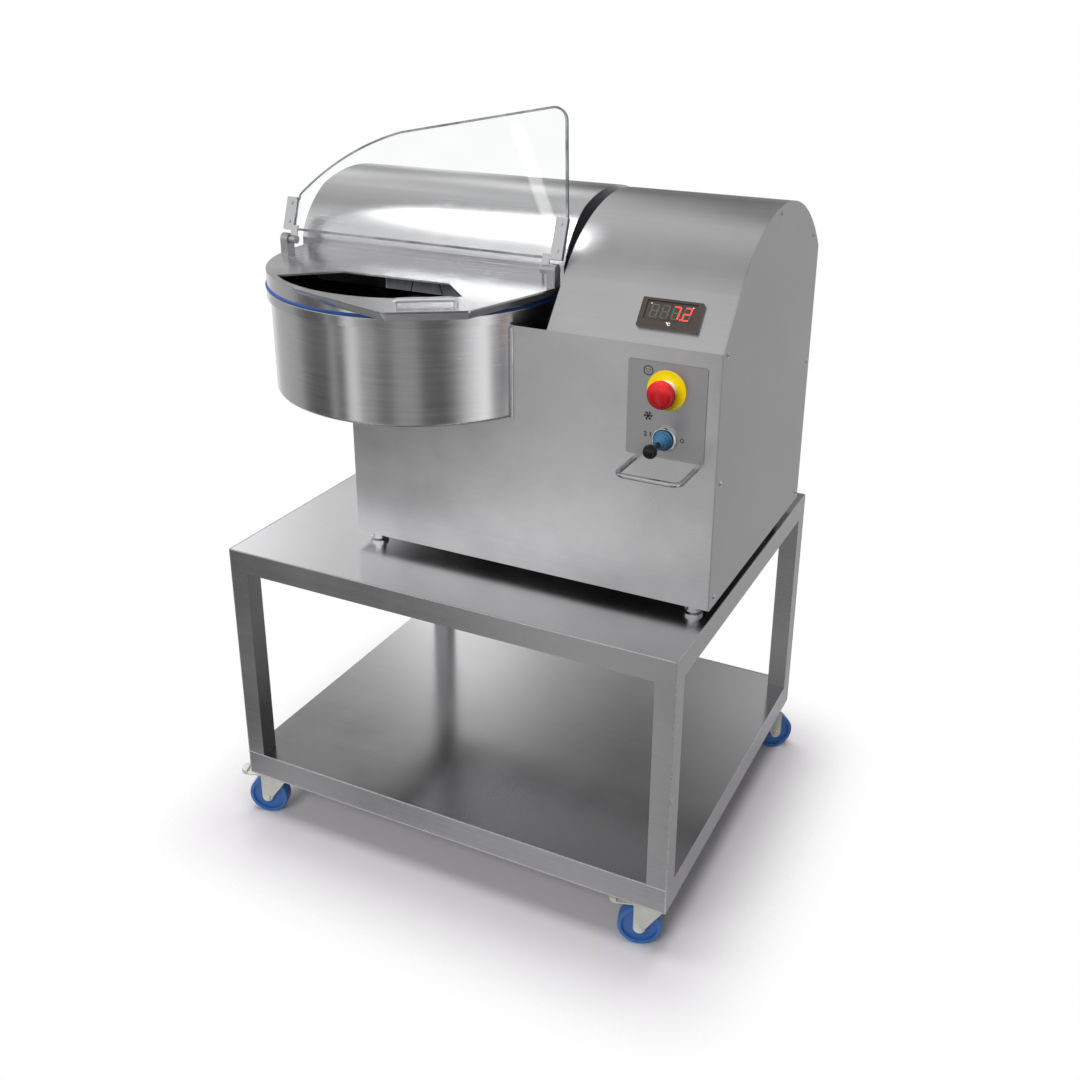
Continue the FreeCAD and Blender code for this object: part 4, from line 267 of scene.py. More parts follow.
def moulded(name, colour, rough, speck=0.05, scale=900.0, depth=0.03, coat=0.0, gloss=0.5):
    """Plastic, rubber or paint with a fine moulded surface and slight colour variation."""
    material, tree, shader = tree_of(name)
    point = object_point(tree)
    fine = noise(tree, point, scale, 2.0)
    broad = noise(tree, point, MOULD_PATCH, 3.0)
    roughness = math_node(tree, "ADD", spread(tree, fine, rough - MOULD_FINE_ROUGH, rough + MOULD_FINE_ROUGH),
                          spread(tree, broad, -MOULD_PATCH_ROUGH, MOULD_PATCH_ROUGH))
    link(tree, shader, Base_Color=two_tones(tree, colour, speck, spread(tree, broad, 0, 1)),
         Roughness=roughness)
    engrave(tree, shader, fine, 0.3, depth)
    shader.inputs["Coat Weight"].default_value = coat
    shader.inputs["Coat Roughness"].default_value = 0.05
    shader.inputs["Specular IOR Level"].default_value = gloss
    return material


CLEAR_TONE = (0.97, 0.975, 0.975, 1)
SAWN_TONE = (0.05, 0.053, 0.057, 1)
SAWN_ROUGH = 0.3
SAWN_CLEAR = 0.12
WIPE_SCALE = (12, 40, 12)


def clear_sheet(name):
    """Clear plastic: the polished faces let light through and the sawn edges are grey."""
    material, tree, shader = tree_of(name)
    wipe = noise(tree, scaled(tree, object_point(tree), WIPE_SCALE), 1.0, 4.0)
    across = along(tree, add(tree, "TexCoord").outputs["Normal"], -FLAP_OUT)
    edge = math_node(tree, "LESS_THAN", math_node(tree, "ABSOLUTE", across), 0.5)
    smear = remap(tree, wipe, 0.35, 0.75, 1.0, 0.98)
    tint = mixed(tree, mixed(tree, CLEAR_TONE, SAWN_TONE, edge), smear, 1.0, blend_type="MULTIPLY")
    link(tree, shader, Base_Color=tint, Roughness=remap(tree, edge, 0, 1, 0.0, SAWN_ROUGH),
         Transmission_Weight=remap(tree, edge, 0, 1, 1.0, SAWN_CLEAR))
    shader.inputs["IOR"].default_value = 1.49
    return material


GLOW_DIM = 0.8
GLOW_SCALE = 400.0


def glowing(name, colour, strength):
    """A lit display segment, with a slight shimmer."""
    material, tree, shader = tree_of(name)
    shimmer = noise(tree, object_point(tree), GLOW_SCALE, 1.0)
    tone = mixed(tree, (*[channel * GLOW_DIM for channel in colour], 1), (*colour, 1), shimmer)
    link(tree, shader, Base_Color=tone, Emission_Color=tone)
    shader.inputs["Emission Strength"].default_value = strength
    shader.inputs["Roughness"].default_value = 0.3
    return material


# Finishes: sheet steel first, then turned and polished metal, then paint, plastic and rubber

# The last argument paints light and shade into the casing's tone: lighter at the foot, darker higher up.
casing_front = brushed_steel("casing_front_steel", "x", tone=0.6, rough=0.3, streak=0.04, cloud=0.16,
                             stretch=0.75, painted_light=("Z", 0.6, 0.85, 1.3, 0.85))
casing_cover = brushed_steel("drive_cover_steel", "x", tone=0.6, rough=0.3, streak=0.04, cloud=0.06,
                             stretch=0.6)
casing_side = brushed_steel("side_panel_steel", "z", tone=0.55, rough=0.38, streak=0.015, cloud=0.04)
control_steel = brushed_steel("control_plate_steel", "x", tone=0.47, rough=0.44, streak=0.03, cloud=0.05,
                              stretch=0.3)
drum_steel = brushed_steel("drum_steel", "round", tone=0.62, rough=0.24, streak=0.06, cloud=0.05,
                           stretch=0.85)
turned_steel = brushed_steel("turned_bowl_steel", "round", tone=0.6, rough=0.24, streak=0.08, stretch=0.75)
lid_steel = brushed_steel("lid_steel", "x", tone=0.62, rough=0.24, streak=0.05, cloud=0.12, stretch=0.7)
hood_steel = brushed_steel("hood_steel", "x", tone=0.64, rough=0.24, streak=0.06, cloud=0.04, stretch=0.4)
# The tubes' low tone is partly painted shade, which darkens what they mirror as a darker floor would.
tube_steel = brushed_steel("stand_tube_steel", "x", tone=0.38, rough=0.3, streak=0.09, cloud=0.12)
# The last argument paints light and shade across the table, lighter at the left and darker at the right, and
# across the shelf, darker at the front and lighter at the back.
table_steel = brushed_steel("table_sheet_steel", "x", tone=0.6, rough=0.22, streak=0.03, cloud=0.08,
                            depth=0.008, stretch=0.6, painted_light=("X", -0.42, 0.42, 1.4, 0.72))
shelf_steel = brushed_steel("shelf_sheet_steel", "x", tone=0.5, rough=0.18, streak=0.03, cloud=0.06,
                            depth=0.004, stretch=0.5, painted_light=("Y", -0.35, 0.25, 0.6, 1.2))
strip_steel = brushed_steel("clamping_strip_steel", "z", tone=0.52, rough=0.35, streak=0.03)
# The baffle's steel is nearly black: painted shade inside the filling opening.
baffle_steel_painted_shade = brushed_steel("baffle_steel_painted_shade", "x", tone=0.08, rough=0.3, streak=0.05)
hidden_steel = brushed_steel("machined_steel", "x", tone=0.5, rough=0.4)
blade_steel = brushed_steel("ground_blade_steel", "y", tone=0.7, rough=0.15, streak=0.06)

fitting_chrome = bright_metal("bright_fittings", (0.78, 0.78, 0.79), 0.16)
probe_chrome = bright_metal("polished_probe", (0.75, 0.75, 0.77), 0.12)
guard_steel = bright_metal("guard_bar_steel", (0.5, 0.5, 0.51), 0.22)
corner_bright = bright_metal("bright_tube_corner", (0.62, 0.62, 0.63), 0.3)

collar_satin = moulded("satin_collar", (0.66, 0.67, 0.68), 0.3, 0.04, gloss=0.8)
cast_paint = moulded("painted_casting", (0.24, 0.25, 0.26), 0.5, 0.12, 300.0, 0.15)
belt_rubber = moulded("belt_rubber", (0.03, 0.03, 0.03), 0.7)
seal_blue = moulded("blue_seal", (0.015, 0.07, 0.27), 0.45, 0.1)
boot_blue = moulded("blue_boot", (0.035, 0.13, 0.25), 0.4, 0.1)
gland_grey = moulded("grey_gland", (0.12, 0.13, 0.14), 0.5)
disc_yellow = moulded("yellow_disc", (0.9, 0.68, 0.0), 0.4)
button_red = moulded("red_button", (0.5, 0.006, 0.01), 0.24, 0.06, gloss=0.5)
lever_black = moulded("black_lever", (0.004, 0.004, 0.005), 0.14, 0.1, gloss=0.3)
bezel_dark = moulded("dark_bezel", (0.03, 0.02, 0.018), 0.3, 0.1, coat=0.3)
caster_zinc = moulded("light_caster_paint", (0.66, 0.65, 0.61), 0.38, 0.08, 300.0, 0.06)
wheel_blue = moulded("blue_wheel", (0.045, 0.15, 0.43), 0.42, 0.1)
bevel_grey = moulded("polished_bevel", (0.17, 0.175, 0.18), 0.25, 0.6)
pane_grey = moulded("dull_inner_plate", (0.24, 0.25, 0.26), 0.45, 0.25)
ink = moulded("black_sign_ink", (0.02, 0.02, 0.022), 0.5, 0.1)
display_white = moulded("white_display_print", (0.85, 0.85, 0.85), 0.45)
display_cell = moulded("dark_display_cell", (0.022, 0.02, 0.016), 0.22, 0.2, coat=0.4)
display_off = moulded("unlit_segment", (0.075, 0.066, 0.05), 0.3, 0.15)
display_red = glowing("lit_segment", (1.0, 0.03, 0.02), 2.2)
flap_clear = clear_sheet("clear_flap_plastic")

FINISHES = {
    "main_casing": casing_front, "drive_cover": casing_cover, "right_side_panel": casing_side,
    "control_plate": control_steel, "deck_plate": casing_front, "base_plate": casing_front,
    "bowl_surround": drum_steel, "bowl": turned_steel, "lid_plate": lid_steel, "lid_baffle": baffle_steel_painted_shade,
    "lid_grip": fitting_chrome, "knife_hood": hood_steel, "lid_hinge_arms": hidden_steel,
    "lid_hinge_blocks": hidden_steel, "flap_brackets": strip_steel, "flap_posts": hidden_steel,
    "trolley_frame": tube_steel, "table_top": table_steel, "shelf": shelf_steel,
    "flap": flap_clear, "lid_seal": seal_blue, "temperature_probe": probe_chrome,
    "knife_shaft": hidden_steel, "knife_spacers": hidden_steel, "knife_nut": hidden_steel,
    "knife_blade_1": blade_steel, "knife_blade_2": blade_steel, "knife_blade_3": blade_steel,
    "bearing_arm": hidden_steel, "drive_frame": cast_paint, "knife_motor": cast_paint,
    "motor_pulley": hidden_steel, "knife_shaft_pulley": hidden_steel, "knife_belt": belt_rubber,
    "bowl_spindle": hidden_steel, "bowl_bearing_housing": cast_paint, "bowl_gearmotor": cast_paint,
    "ball_bearings": probe_chrome, "panel_screws": fitting_chrome, "machine_feet": fitting_chrome,
    "cable_gland": gland_grey, "estop_disc": disc_yellow, "estop_collar": collar_satin,
    "estop_button": button_red, "lever_ring": fitting_chrome, "lever_boot": boot_blue,
    "switch_lever": lever_black, "guard_bar": guard_steel, "display_bezel": bezel_dark,
    "caster_plates": caster_zinc, "brake_pedal_front_left": caster_zinc,
    "brake_pedal_front_right": caster_zinc,
}
for corner in ("front_left", "front_right", "rear_left", "rear_right"):
    FINISHES["caster_fork_" + corner] = caster_zinc
    FINISHES["caster_wheel_" + corner] = wheel_blue

for name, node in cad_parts.items():
    for slot in node.material_slots:
        slot.material = FINISHES[name]


# Camera, floor and light

CAMERA_PLACE = (0.95055, -1.80838, 1.52264)
CAMERA_ANGLES = (68.5195, -0.2946, 26.3649)
CAMERA_LENS = 40.66
CAMERA_SHIFT = (-0.00916, -0.08392)
SENSOR_WIDE = 36.0
FLOOR_RADIUS = 4.0
# Grey of the floor near the stand: painted shade round the footprint, which fades into the white background
FLOOR_SHADE_TONE = (0.66, 0.64, 0.66, 1)
STAND_HALF = (0.421, 0.350)
# Distances from the stand's footprint between which the floor fades into the background
FLOOR_FADE = (-0.02, 0.24)


def photo_camera():
    data = bpy.data.cameras.new("photo_camera")
    data.sensor_width = SENSOR_WIDE
    data.lens = CAMERA_LENS
    data.shift_x, data.shift_y = CAMERA_SHIFT
    camera = bpy.data.objects.new("photo_camera", data)
    camera.location = CAMERA_PLACE
    camera.rotation_euler = [math.radians(angle) for angle in CAMERA_ANGLES]
    bpy.context.collection.objects.link(camera)
    bpy.context.scene.camera = camera


def studio_floor():
    """A light grey floor round the stand, whose tone is painted shade that darkens the stand's shadow,
    and which fades into the white background.
    """
    bpy.ops.mesh.primitive_circle_add(vertices=96, radius=FLOOR_RADIUS, fill_type="NGON", location=(0, 0, 0))
    floor = bpy.context.object
    floor.name = "studio_floor"
    material, tree, shader = tree_of("floor_painted_shade")
    shader.inputs["Base Color"].default_value = FLOOR_SHADE_TONE
    shader.inputs["Roughness"].default_value = 0.9
    shader.inputs["Specular IOR Level"].default_value = 0.0
    clear = add(tree, "BsdfTransparent")
    parts = parts_of(tree, object_point(tree))
    past = []
    for line, half in zip("XY", STAND_HALF):
        out = math_node(tree, "SUBTRACT", math_node(tree, "ABSOLUTE", parts[line]), half)
        past.append(math_node(tree, "POWER", math_node(tree, "MAXIMUM", out, 0.0), 2.0))
    reach = math_node(tree, "SQRT", math_node(tree, "ADD", *past))
    shade_fade = add(tree, "MapRange", {"Value": reach, "From Min": FLOOR_FADE[0], "From Max": FLOOR_FADE[1]},
               interpolation_type="SMOOTHSTEP").outputs["Result"]
    fade = add(tree, "MixShader", {"Fac": shade_fade, 1: shader.outputs["BSDF"], 2: clear.outputs["BSDF"]})
    tree.links.new(fade.outputs["Shader"], tree.nodes["Material Output"].inputs["Surface"])
    floor.data.materials.append(material)


# Tones of the studio that metal mirrors, set against the bands that the photograph shows on the drum,
# hood and front. OVERHEAD runs in degrees from the front horizon over the zenith to the rear one.
# AROUND, below the horizon, and BEHIND, a share of OVERHEAD, run round from the right.
OVERHEAD = ((0, 0.45), (8, 0.6), (15, 0.95), (24, 1.15), (32, 1.0), (42, 0.75), (50, 0.9), (58, 0.8),
            (68, 0.6), (77, 0.36), (86, 0.36), (96, 0.46), (108, 0.5), (122, 0.6), (132, 0.4), (139, 0.24),
            (144, 0.75), (149, 0.95), (153, 0.5), (157, 0.22), (166, 0.2), (173, 0.55), (180, 0.9))
AROUND = ((-180, 0.5), (-167, 0.42), (-160, 0.2), (-150, 0.1), (-137, 0.12), (-131, 0.45), (-127, 0.16),
          (-122, 0.14), (-118.5, 0.9), (-113, 1.0), (-107, 0.4), (-100, 0.36), (-93, 0.16), (-87, 0.14),
          (-79, 0.34), (-66, 0.3), (-60, 0.08), (-46, 0.04), (-38, 0.2), (-30, 0.6), (-22, 1.0),
          (-13, 1.4), (-7, 0.6), (2, 0.3), (12, 0.16), (50, 0.16), (66, 0.6), (74, 0.72), (120, 0.7),
          (145, 0.9), (157, 0.62), (180, 0.5))
BEHIND = ((0, 1.0), (60, 0.8), (95, 1.0), (104, 0.75), (111, 0.32), (116, 0.7), (121, 1.9), (127, 0.9),
          (132, 1.7), (145, 1.2), (180, 1.0))
BRIGHTEST = 2.0
HORIZON = (-0.14, -0.02)
EVEN_LIGHT = 0.13
WHITE = (1, 1, 1, 1)
# A small bright window that the clear flap mirrors: its direction, half width, half height and lean
WINDOW_WAY = Vector((-0.4446, -0.7811, 0.4384)).normalized()
WINDOW_WIDE = 0.0078
WINDOW_HIGH = 0.046
WINDOW_LEAN = -0.78
WINDOW_BRIGHT = 11.0
WINDOW_CORE = 0.6


def studio_band(tree, angle, tones, start, end):
    """The tone at an angle, along (degrees, tone) pairs that run from start to end."""
    share = remap(tree, angle, math.radians(start), math.radians(end), 0, 1)
    return ramp(tree, share, *[((place - start) / (end - start), tone / BRIGHTEST) for place, tone in tones])


def bright_window(tree, direction, path):
    """One on the window, fading at its edges, and zero except in perfectly sharp reflections."""
    side = WINDOW_WAY.cross(Vector((0, 0, 1))).normalized()
    up = along(tree, direction, side.cross(WINDOW_WAY))
    across = math_node(tree, "ADD", along(tree, direction, side), product(tree, up, WINDOW_LEAN))
    pane = product(tree, *[remap(tree, math_node(tree, "ABSOLUTE", place), half * WINDOW_CORE, half, 1, 0)
                           for place, half in ((across, WINDOW_WIDE), (up, WINDOW_HIGH))])
    ahead = math_node(tree, "GREATER_THAN", along(tree, direction, WINDOW_WAY), 0.5)
    sharp = math_node(tree, "SUBTRACT", path["Is Singular Ray"], path["Is Transmission Ray"])
    return product(tree, pane, ahead, math_node(tree, "MAXIMUM", sharp, 0.0))


def studio_world():
    """White to the camera and through the flap, even on matt surfaces, and soft panels to the metal."""
    world = bpy.data.worlds.new("studio")
    bpy.context.scene.world = world
    world.use_nodes = True
    tree = world.node_tree
    direction = add(tree, "TexCoord").outputs["Generated"]
    way = parts_of(tree, direction)
    over = math_node(tree, "ARCTAN2", way["Z"], product(tree, way["Y"], -1.0))
    around = math_node(tree, "ARCTAN2", way["Y"], way["X"])
    upper = product(tree, studio_band(tree, over, OVERHEAD, 0, 180),
                    studio_band(tree, around, BEHIND, 0, 180), BRIGHTEST)
    lower = studio_band(tree, around, AROUND, -180, 180)
    tone = mixed(tree, lower, upper, remap(tree, way["Z"], *HORIZON, 0, 1))
    path = add(tree, "LightPath").outputs
    window = product(tree, bright_window(tree, direction, path), WINDOW_BRIGHT)
    back = tree.nodes["Background"]
    link(tree, back, Color=tone, Strength=math_node(tree, "ADD", BRIGHTEST, window))
    even = add(tree, "Background", {"Color": WHITE, "Strength": EVEN_LIGHT}).outputs["Background"]
    white = add(tree, "Background", {"Color": WHITE, "Strength": 1.0}).outputs["Background"]
    matt = add(tree, "MixShader", {"Fac": path["Is Diffuse Ray"], 1: back.outputs["Background"], 2: even})
    unmirrored = math_node(tree, "LESS_THAN", path["Glossy Depth"], 0.5)
    through = product(tree, path["Is Transmission Ray"], unmirrored)
    seen = math_node(tree, "MAXIMUM", path["Is Camera Ray"], through)
    fade = add(tree, "MixShader", {"Fac": seen, 1: matt.outputs["Shader"], 2: white})
    tree.links.new(fade.outputs["Shader"], tree.nodes["World Output"].inputs["Surface"])


def soft_lamp(name, place, aim, size, power):
    data = bpy.data.lights.new(name, "AREA")
    data.shape = "RECTANGLE"
    data.size, data.size_y = size
    data.energy = power
    lamp = bpy.data.objects.new(name, data)
    lamp.location = place
    lamp.visible_glossy = False
    lamp.rotation_euler = (Vector(aim) - Vector(place)).to_track_quat("-Z", "Y").to_euler()
    bpy.context.collection.objects.link(lamp)


photo_camera()
studio_floor()
studio_world()
soft_lamp("front_softbox", (0.2, -2.9, 2.3), (0.0, 0.0, 0.8), (2.6, 1.0), 58.0)
soft_lamp("ceiling_softbox", (-0.2, 0.1, 3.2), (-0.1, 0.1, 0.0), (2.8, 2.8), 145.0)


# Handling of pieces

def select_only(*pieces):
    bpy.ops.object.select_all(action="DESELECT")
    for piece in pieces:
        piece.select_set(True)
    bpy.context.view_layer.objects.active = pieces[0]


def settle(piece, name, place, material, body="machine"):
    """Put a finished piece in place through its mesh, name it and let it ride on its body."""
    piece.name = name
    piece.data.name = name
    piece.data.transform(place @ piece.matrix_world)
    piece.matrix_world = Matrix.Identity(4)
    piece.data.materials.clear()
    piece.data.materials.append(material)
    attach(piece, body)
    return piece


def joined(pieces):
    select_only(*pieces)
    if len(pieces) > 1:
        bpy.ops.object.join()
    return bpy.context.object


def apply_place(piece):
    select_only(piece)
    bpy.ops.object.transform_apply(location=True, rotation=True, scale=True)
    return piece


def copy_of(piece, matrix):
    twin = piece.copy()
    twin.data = piece.data.copy()
    twin.data.transform(matrix)
    bpy.context.collection.objects.link(twin)
    return twin


def delete_where(piece, kind, wanted):
    """Delete the vertices or faces that the test names."""
    select_only(piece)
    bpy.ops.object.mode_set(mode="EDIT")
    bpy.ops.mesh.select_mode(type=kind)
    bpy.ops.mesh.select_all(action="DESELECT")
    bpy.ops.object.mode_set(mode="OBJECT")
    for part in (piece.data.vertices if kind == "VERT" else piece.data.polygons):
        part.select = wanted(part)
    bpy.ops.object.mode_set(mode="EDIT")
    bpy.ops.mesh.delete(type=kind)
    bpy.ops.object.mode_set(mode="OBJECT")


# Display

ON_SLOPE = Matrix.Translation(DISPLAY) @ Matrix.Rotation(SLOPE, 4, "X")
BEZEL_FACE = 0.0070
WINDOW_FLOOR = 0.0050
CELL_RISE = 0.0002
LAMP_RISE = 0.0004
DIGIT_RISE = 0.0006
# Segments of a digit: place across and up in half widths and half heights, and whether it stands upright
SEGMENTS = {"top": (0, 1, 0), "middle": (0, 0, 0), "bottom": (0, -1, 0), "upper_left": (-1, 0.5, 1),
            "upper_right": (1, 0.5, 1), "lower_left": (-1, -0.5, 1), "lower_right": (1, -0.5, 1)}
SEVEN = ("top", "upper_right", "lower_right")
TWO = ("top", "upper_right", "middle", "lower_left", "bottom")
SHOWN = ((), (), SEVEN, TWO)
DIGIT_WIDE = 0.0098
DIGIT_HIGH = 0.0200
DIGIT_PITCH = 0.0172
DIGIT_SHIFT = 0.0035
DIGIT_SLANT = 0.1
SEGMENT_WIDE = 0.0021
SEGMENT_THICK = 0.0003
SEGMENT_GAP = 0.0004
POINT_RADIUS = SEGMENT_WIDE * 0.55
CELL_HIGH = 0.0262
CELL_THICK = 0.0004
CELL_GAP = 0.0008
CELL_BEVEL = 0.00015
UNIT_SIZE = 0.0065
UNIT_PLACE = (0.0010, -0.0160)
LAMP_PLACES = ((-0.0330, 0.0150), (0.0330, 0.0150))
LAMP_RADIUS = 0.0010
LAMP_FLAT = 0.3


def over_window(rise):
    return ON_SLOPE @ Matrix.Translation((0, 0, WINDOW_FLOOR + rise))


def bar(length, width, thick):
    """A display segment: a flat bar with pointed ends."""
    bpy.ops.mesh.primitive_cylinder_add(vertices=6, radius=width / 2, depth=thick,
                                        rotation=(0, 0, math.pi / 2))
    piece = apply_place(bpy.context.object)
    bpy.ops.object.mode_set(mode="EDIT")
    for side in (-1, 1):
        bpy.ops.mesh.select_all(action="DESELECT")
        bpy.ops.object.mode_set(mode="OBJECT")
        for vertex in piece.data.vertices:
            vertex.select = vertex.co.x * side > width * 0.1
        bpy.ops.object.mode_set(mode="EDIT")
        bpy.ops.transform.translate(value=(side * (length - width) / 2, 0, 0))
    bpy.ops.object.mode_set(mode="OBJECT")
    return piece


def segment_places(column, names):
    slant = Matrix.Identity(4)
    slant[0][1] = DIGIT_SLANT
    centre = Matrix.Translation(((column - 1.5) * DIGIT_PITCH, DIGIT_SHIFT, 0))
    for name in names:
        across, up, turned = SEGMENTS[name]
        place = Matrix.Translation((across * DIGIT_WIDE / 2, up * DIGIT_HIGH / 2, 0))
        yield centre @ slant @ place @ Matrix.Rotation(turned * math.pi / 2, 4, "Z")


def display_digits():
    segment = bar(DIGIT_HIGH / 2 - SEGMENT_GAP, SEGMENT_WIDE, SEGMENT_THICK)
    lit, dark = [], []
    for column, names in enumerate(SHOWN):
        lit += [copy_of(segment, place) for place in segment_places(column, names)]
        rest = [name for name in SEGMENTS if name not in names]
        dark += [copy_of(segment, place) for place in segment_places(column, rest)]
    bpy.ops.mesh.primitive_cylinder_add(vertices=24, radius=POINT_RADIUS, depth=SEGMENT_THICK,
                                        location=(DIGIT_PITCH, DIGIT_SHIFT - DIGIT_HIGH / 2, 0))
    lit.append(apply_place(bpy.context.object))
    bpy.data.objects.remove(segment)
    settle(joined(lit), "display_digits_lit", over_window(DIGIT_RISE), display_red)
    settle(joined(dark), "display_digits_unlit", over_window(DIGIT_RISE), display_off)


def display_cells():
    """Dark panes behind the digits, a little apart."""
    panes = []
    for half in (-1, 1):
        bpy.ops.mesh.primitive_cube_add(size=1, location=(half * DIGIT_PITCH, DIGIT_SHIFT, 0),
                                        scale=(2 * DIGIT_PITCH - CELL_GAP, CELL_HIGH, CELL_THICK))
        pane = apply_place(bpy.context.object)
        bpy.ops.object.mode_set(mode="EDIT")
        bpy.ops.mesh.select_all(action="SELECT")
        bpy.ops.mesh.bevel(offset=CELL_BEVEL, segments=2)
        bpy.ops.object.mode_set(mode="OBJECT")
        panes.append(pane)
    settle(joined(panes), "display_cells", over_window(CELL_RISE), display_cell)


PRINT_THICK = 0.00005
PRINT_BOLD = 0.03


def lettering(text, size, x, y, place, name, material):
    bpy.ops.object.text_add(location=(x, y, 0))
    piece = bpy.context.object
    piece.data.body = text
    piece.data.size = size
    piece.data.align_x = "CENTER"
    piece.data.align_y = "CENTER"
    piece.data.extrude = PRINT_THICK
    piece.data.offset = size * PRINT_BOLD
    bpy.ops.object.convert(target="MESH")
    return settle(bpy.context.object, name, place, material)


def display_print():
    """The unit under the digits and a small lamp in each upper corner."""
    face = ON_SLOPE @ Matrix.Translation((0, 0, BEZEL_FACE))
    lettering("°C", UNIT_SIZE, *UNIT_PLACE, face, "display_unit", display_white)
    dots = []
    for x, y in LAMP_PLACES:
        bpy.ops.mesh.primitive_uv_sphere_add(segments=16, ring_count=8, radius=LAMP_RADIUS,
                                             location=(x, y, 0))
        dot = bpy.context.object
        dot.scale = (1, 1, LAMP_FLAT)
        dots.append(apply_place(dot))
    settle(joined(dots), "display_lamps", over_window(LAMP_RISE), display_white)


# Signs on the control plate

ON_PANEL = Matrix.Translation((0, CONTROL_Y, 0)) @ FACING_FRONT
RING_FLAT = 0.15
STOP_RING = (0.0071, 0.0017)
STOP_TRIANGLE = (0.0044, 0.0013)
ZERO_RING = (0.0028, 0.0014)
NUMBER_SIZE = 0.0105
LEAF_RADIUS = 0.0015
LEAF_SHAPE = (2.0, 0.65, 1)
# Leaves of each spoke of the knives sign: distance from the middle, and degrees of lean
LEAVES = ((0.0028, 10), (0.0056, 62))
SPOKES = 6
LEAF_RISE = 0.0001


def printed_ring(radius, line, x, y, corners=64):
    bpy.ops.mesh.primitive_torus_add(major_segments=corners, minor_segments=8, major_radius=radius,
                                     minor_radius=line / 2, location=(x, y, 0))
    piece = bpy.context.object
    piece.scale = (1, 1, RING_FLAT)
    return apply_place(piece)


def stop_sign():
    middle = Matrix.Translation((*STOP_SIGN, 0))
    triangle = printed_ring(*STOP_TRIANGLE, *STOP_SIGN, corners=3)
    triangle.data.transform(middle @ Matrix.Rotation(-math.pi / 2, 4, "Z") @ middle.inverted())
    settle(joined([printed_ring(*STOP_RING, *STOP_SIGN), triangle]), "sign_stop", ON_PANEL, ink)


def knives_sign():
    bpy.ops.mesh.primitive_circle_add(vertices=24, radius=LEAF_RADIUS, fill_type="NGON")
    leaf = bpy.context.object
    leaf.scale = LEAF_SHAPE
    apply_place(leaf)
    middle = Matrix.Translation((*KNIVES_SIGN, LEAF_RISE))
    leaves = []
    for index in range(SPOKES):
        spoke = middle @ Matrix.Rotation(index * math.tau / SPOKES, 4, "Z")
        for reach, lean in LEAVES:
            turn = Matrix.Rotation(math.radians(lean), 4, "Z")
            leaves.append(copy_of(leaf, spoke @ Matrix.Translation((reach, 0, 0)) @ turn))
    bpy.data.objects.remove(leaf)
    settle(joined(leaves), "sign_knives", ON_PANEL, ink)


def control_signs():
    stop_sign()
    knives_sign()
    lettering("2", NUMBER_SIZE, *TWO_SIGN, ON_PANEL, "sign_two", ink)
    lettering("1", NUMBER_SIZE, *ONE_SIGN, ON_PANEL, "sign_one", ink)
    settle(printed_ring(*ZERO_RING, *ZERO_SIGN), "sign_zero", ON_PANEL, ink)


# Drum, lid, flap, stop button and stand

SEAM_HIGH = 0.1500
SEAM_RADIUS = 0.0028
SEAM_BEVEL = 0.0012


def drum_seam():
    """The bright weld bead where the drum meets the casing's front."""
    bpy.ops.mesh.primitive_cylinder_add(vertices=24, radius=SEAM_RADIUS, depth=SEAM_HIGH)
    bead = bpy.context.object
    bpy.ops.object.mode_set(mode="EDIT")
    bpy.ops.mesh.select_all(action="SELECT")
    bpy.ops.mesh.bevel(offset=SEAM_BEVEL, segments=3, affect="EDGES")
    bpy.ops.object.mode_set(mode="OBJECT")
    bpy.ops.object.shade_smooth_by_angle(angle=SMOOTH_ANGLE)
    settle(bead, "drum_seam", Matrix.Translation(SEAM + Vector((0, 0, SEAM_HIGH / 2))), fitting_chrome)


DOME_SIDE = 0.0035
DOME_ANGLE = math.radians(35)
STEM_RADIUS = 0.0110
STEM_LONG = 0.0150


def stop_button():
    """The domed red head of the stop button, with its side and stem."""
    low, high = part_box("estop_button")
    radius = (high.x - low.x) / 2
    rise = high.y - low.y - STEM_LONG - DOME_SIDE
    bpy.ops.mesh.primitive_uv_sphere_add(segments=72, ring_count=36, radius=radius)
    head = bpy.context.object
    head.scale = (1, 1, rise / radius)
    apply_place(head)
    delete_where(head, "VERT", lambda vertex: vertex.co.z < -radius * 0.001)
    bpy.ops.object.mode_set(mode="EDIT")
    bpy.ops.mesh.select_mode(type="EDGE")
    bpy.ops.mesh.select_all(action="DESELECT")
    bpy.ops.mesh.select_non_manifold()
    bpy.ops.mesh.extrude_region_move(TRANSFORM_OT_translate={"value": (0, 0, -DOME_SIDE)})
    bpy.ops.mesh.edge_face_add()
    bpy.ops.mesh.inset(thickness=radius - STEM_RADIUS)
    bpy.ops.mesh.extrude_region_move(TRANSFORM_OT_translate={"value": (0, 0, -STEM_LONG)})
    bpy.ops.mesh.select_all(action="SELECT")
    bpy.ops.mesh.normals_make_consistent(inside=False)
    bpy.ops.object.mode_set(mode="OBJECT")
    bpy.ops.object.shade_smooth_by_angle(angle=DOME_ANGLE)
    place = Matrix.Translation(((low.x + high.x) / 2, low.y + rise, (low.z + high.z) / 2))
    settle(head, "stop_button_head", place @ FACING_FRONT, button_red, "stop_button")
    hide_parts("estop_button")


BEVEL_WIDE = 0.0038
BEVEL_THICK = 0.0003
FACES_FRONT = 0.95
MERGE_DISTANCE = 0.00001
FLAT_ANGLE = 0.01


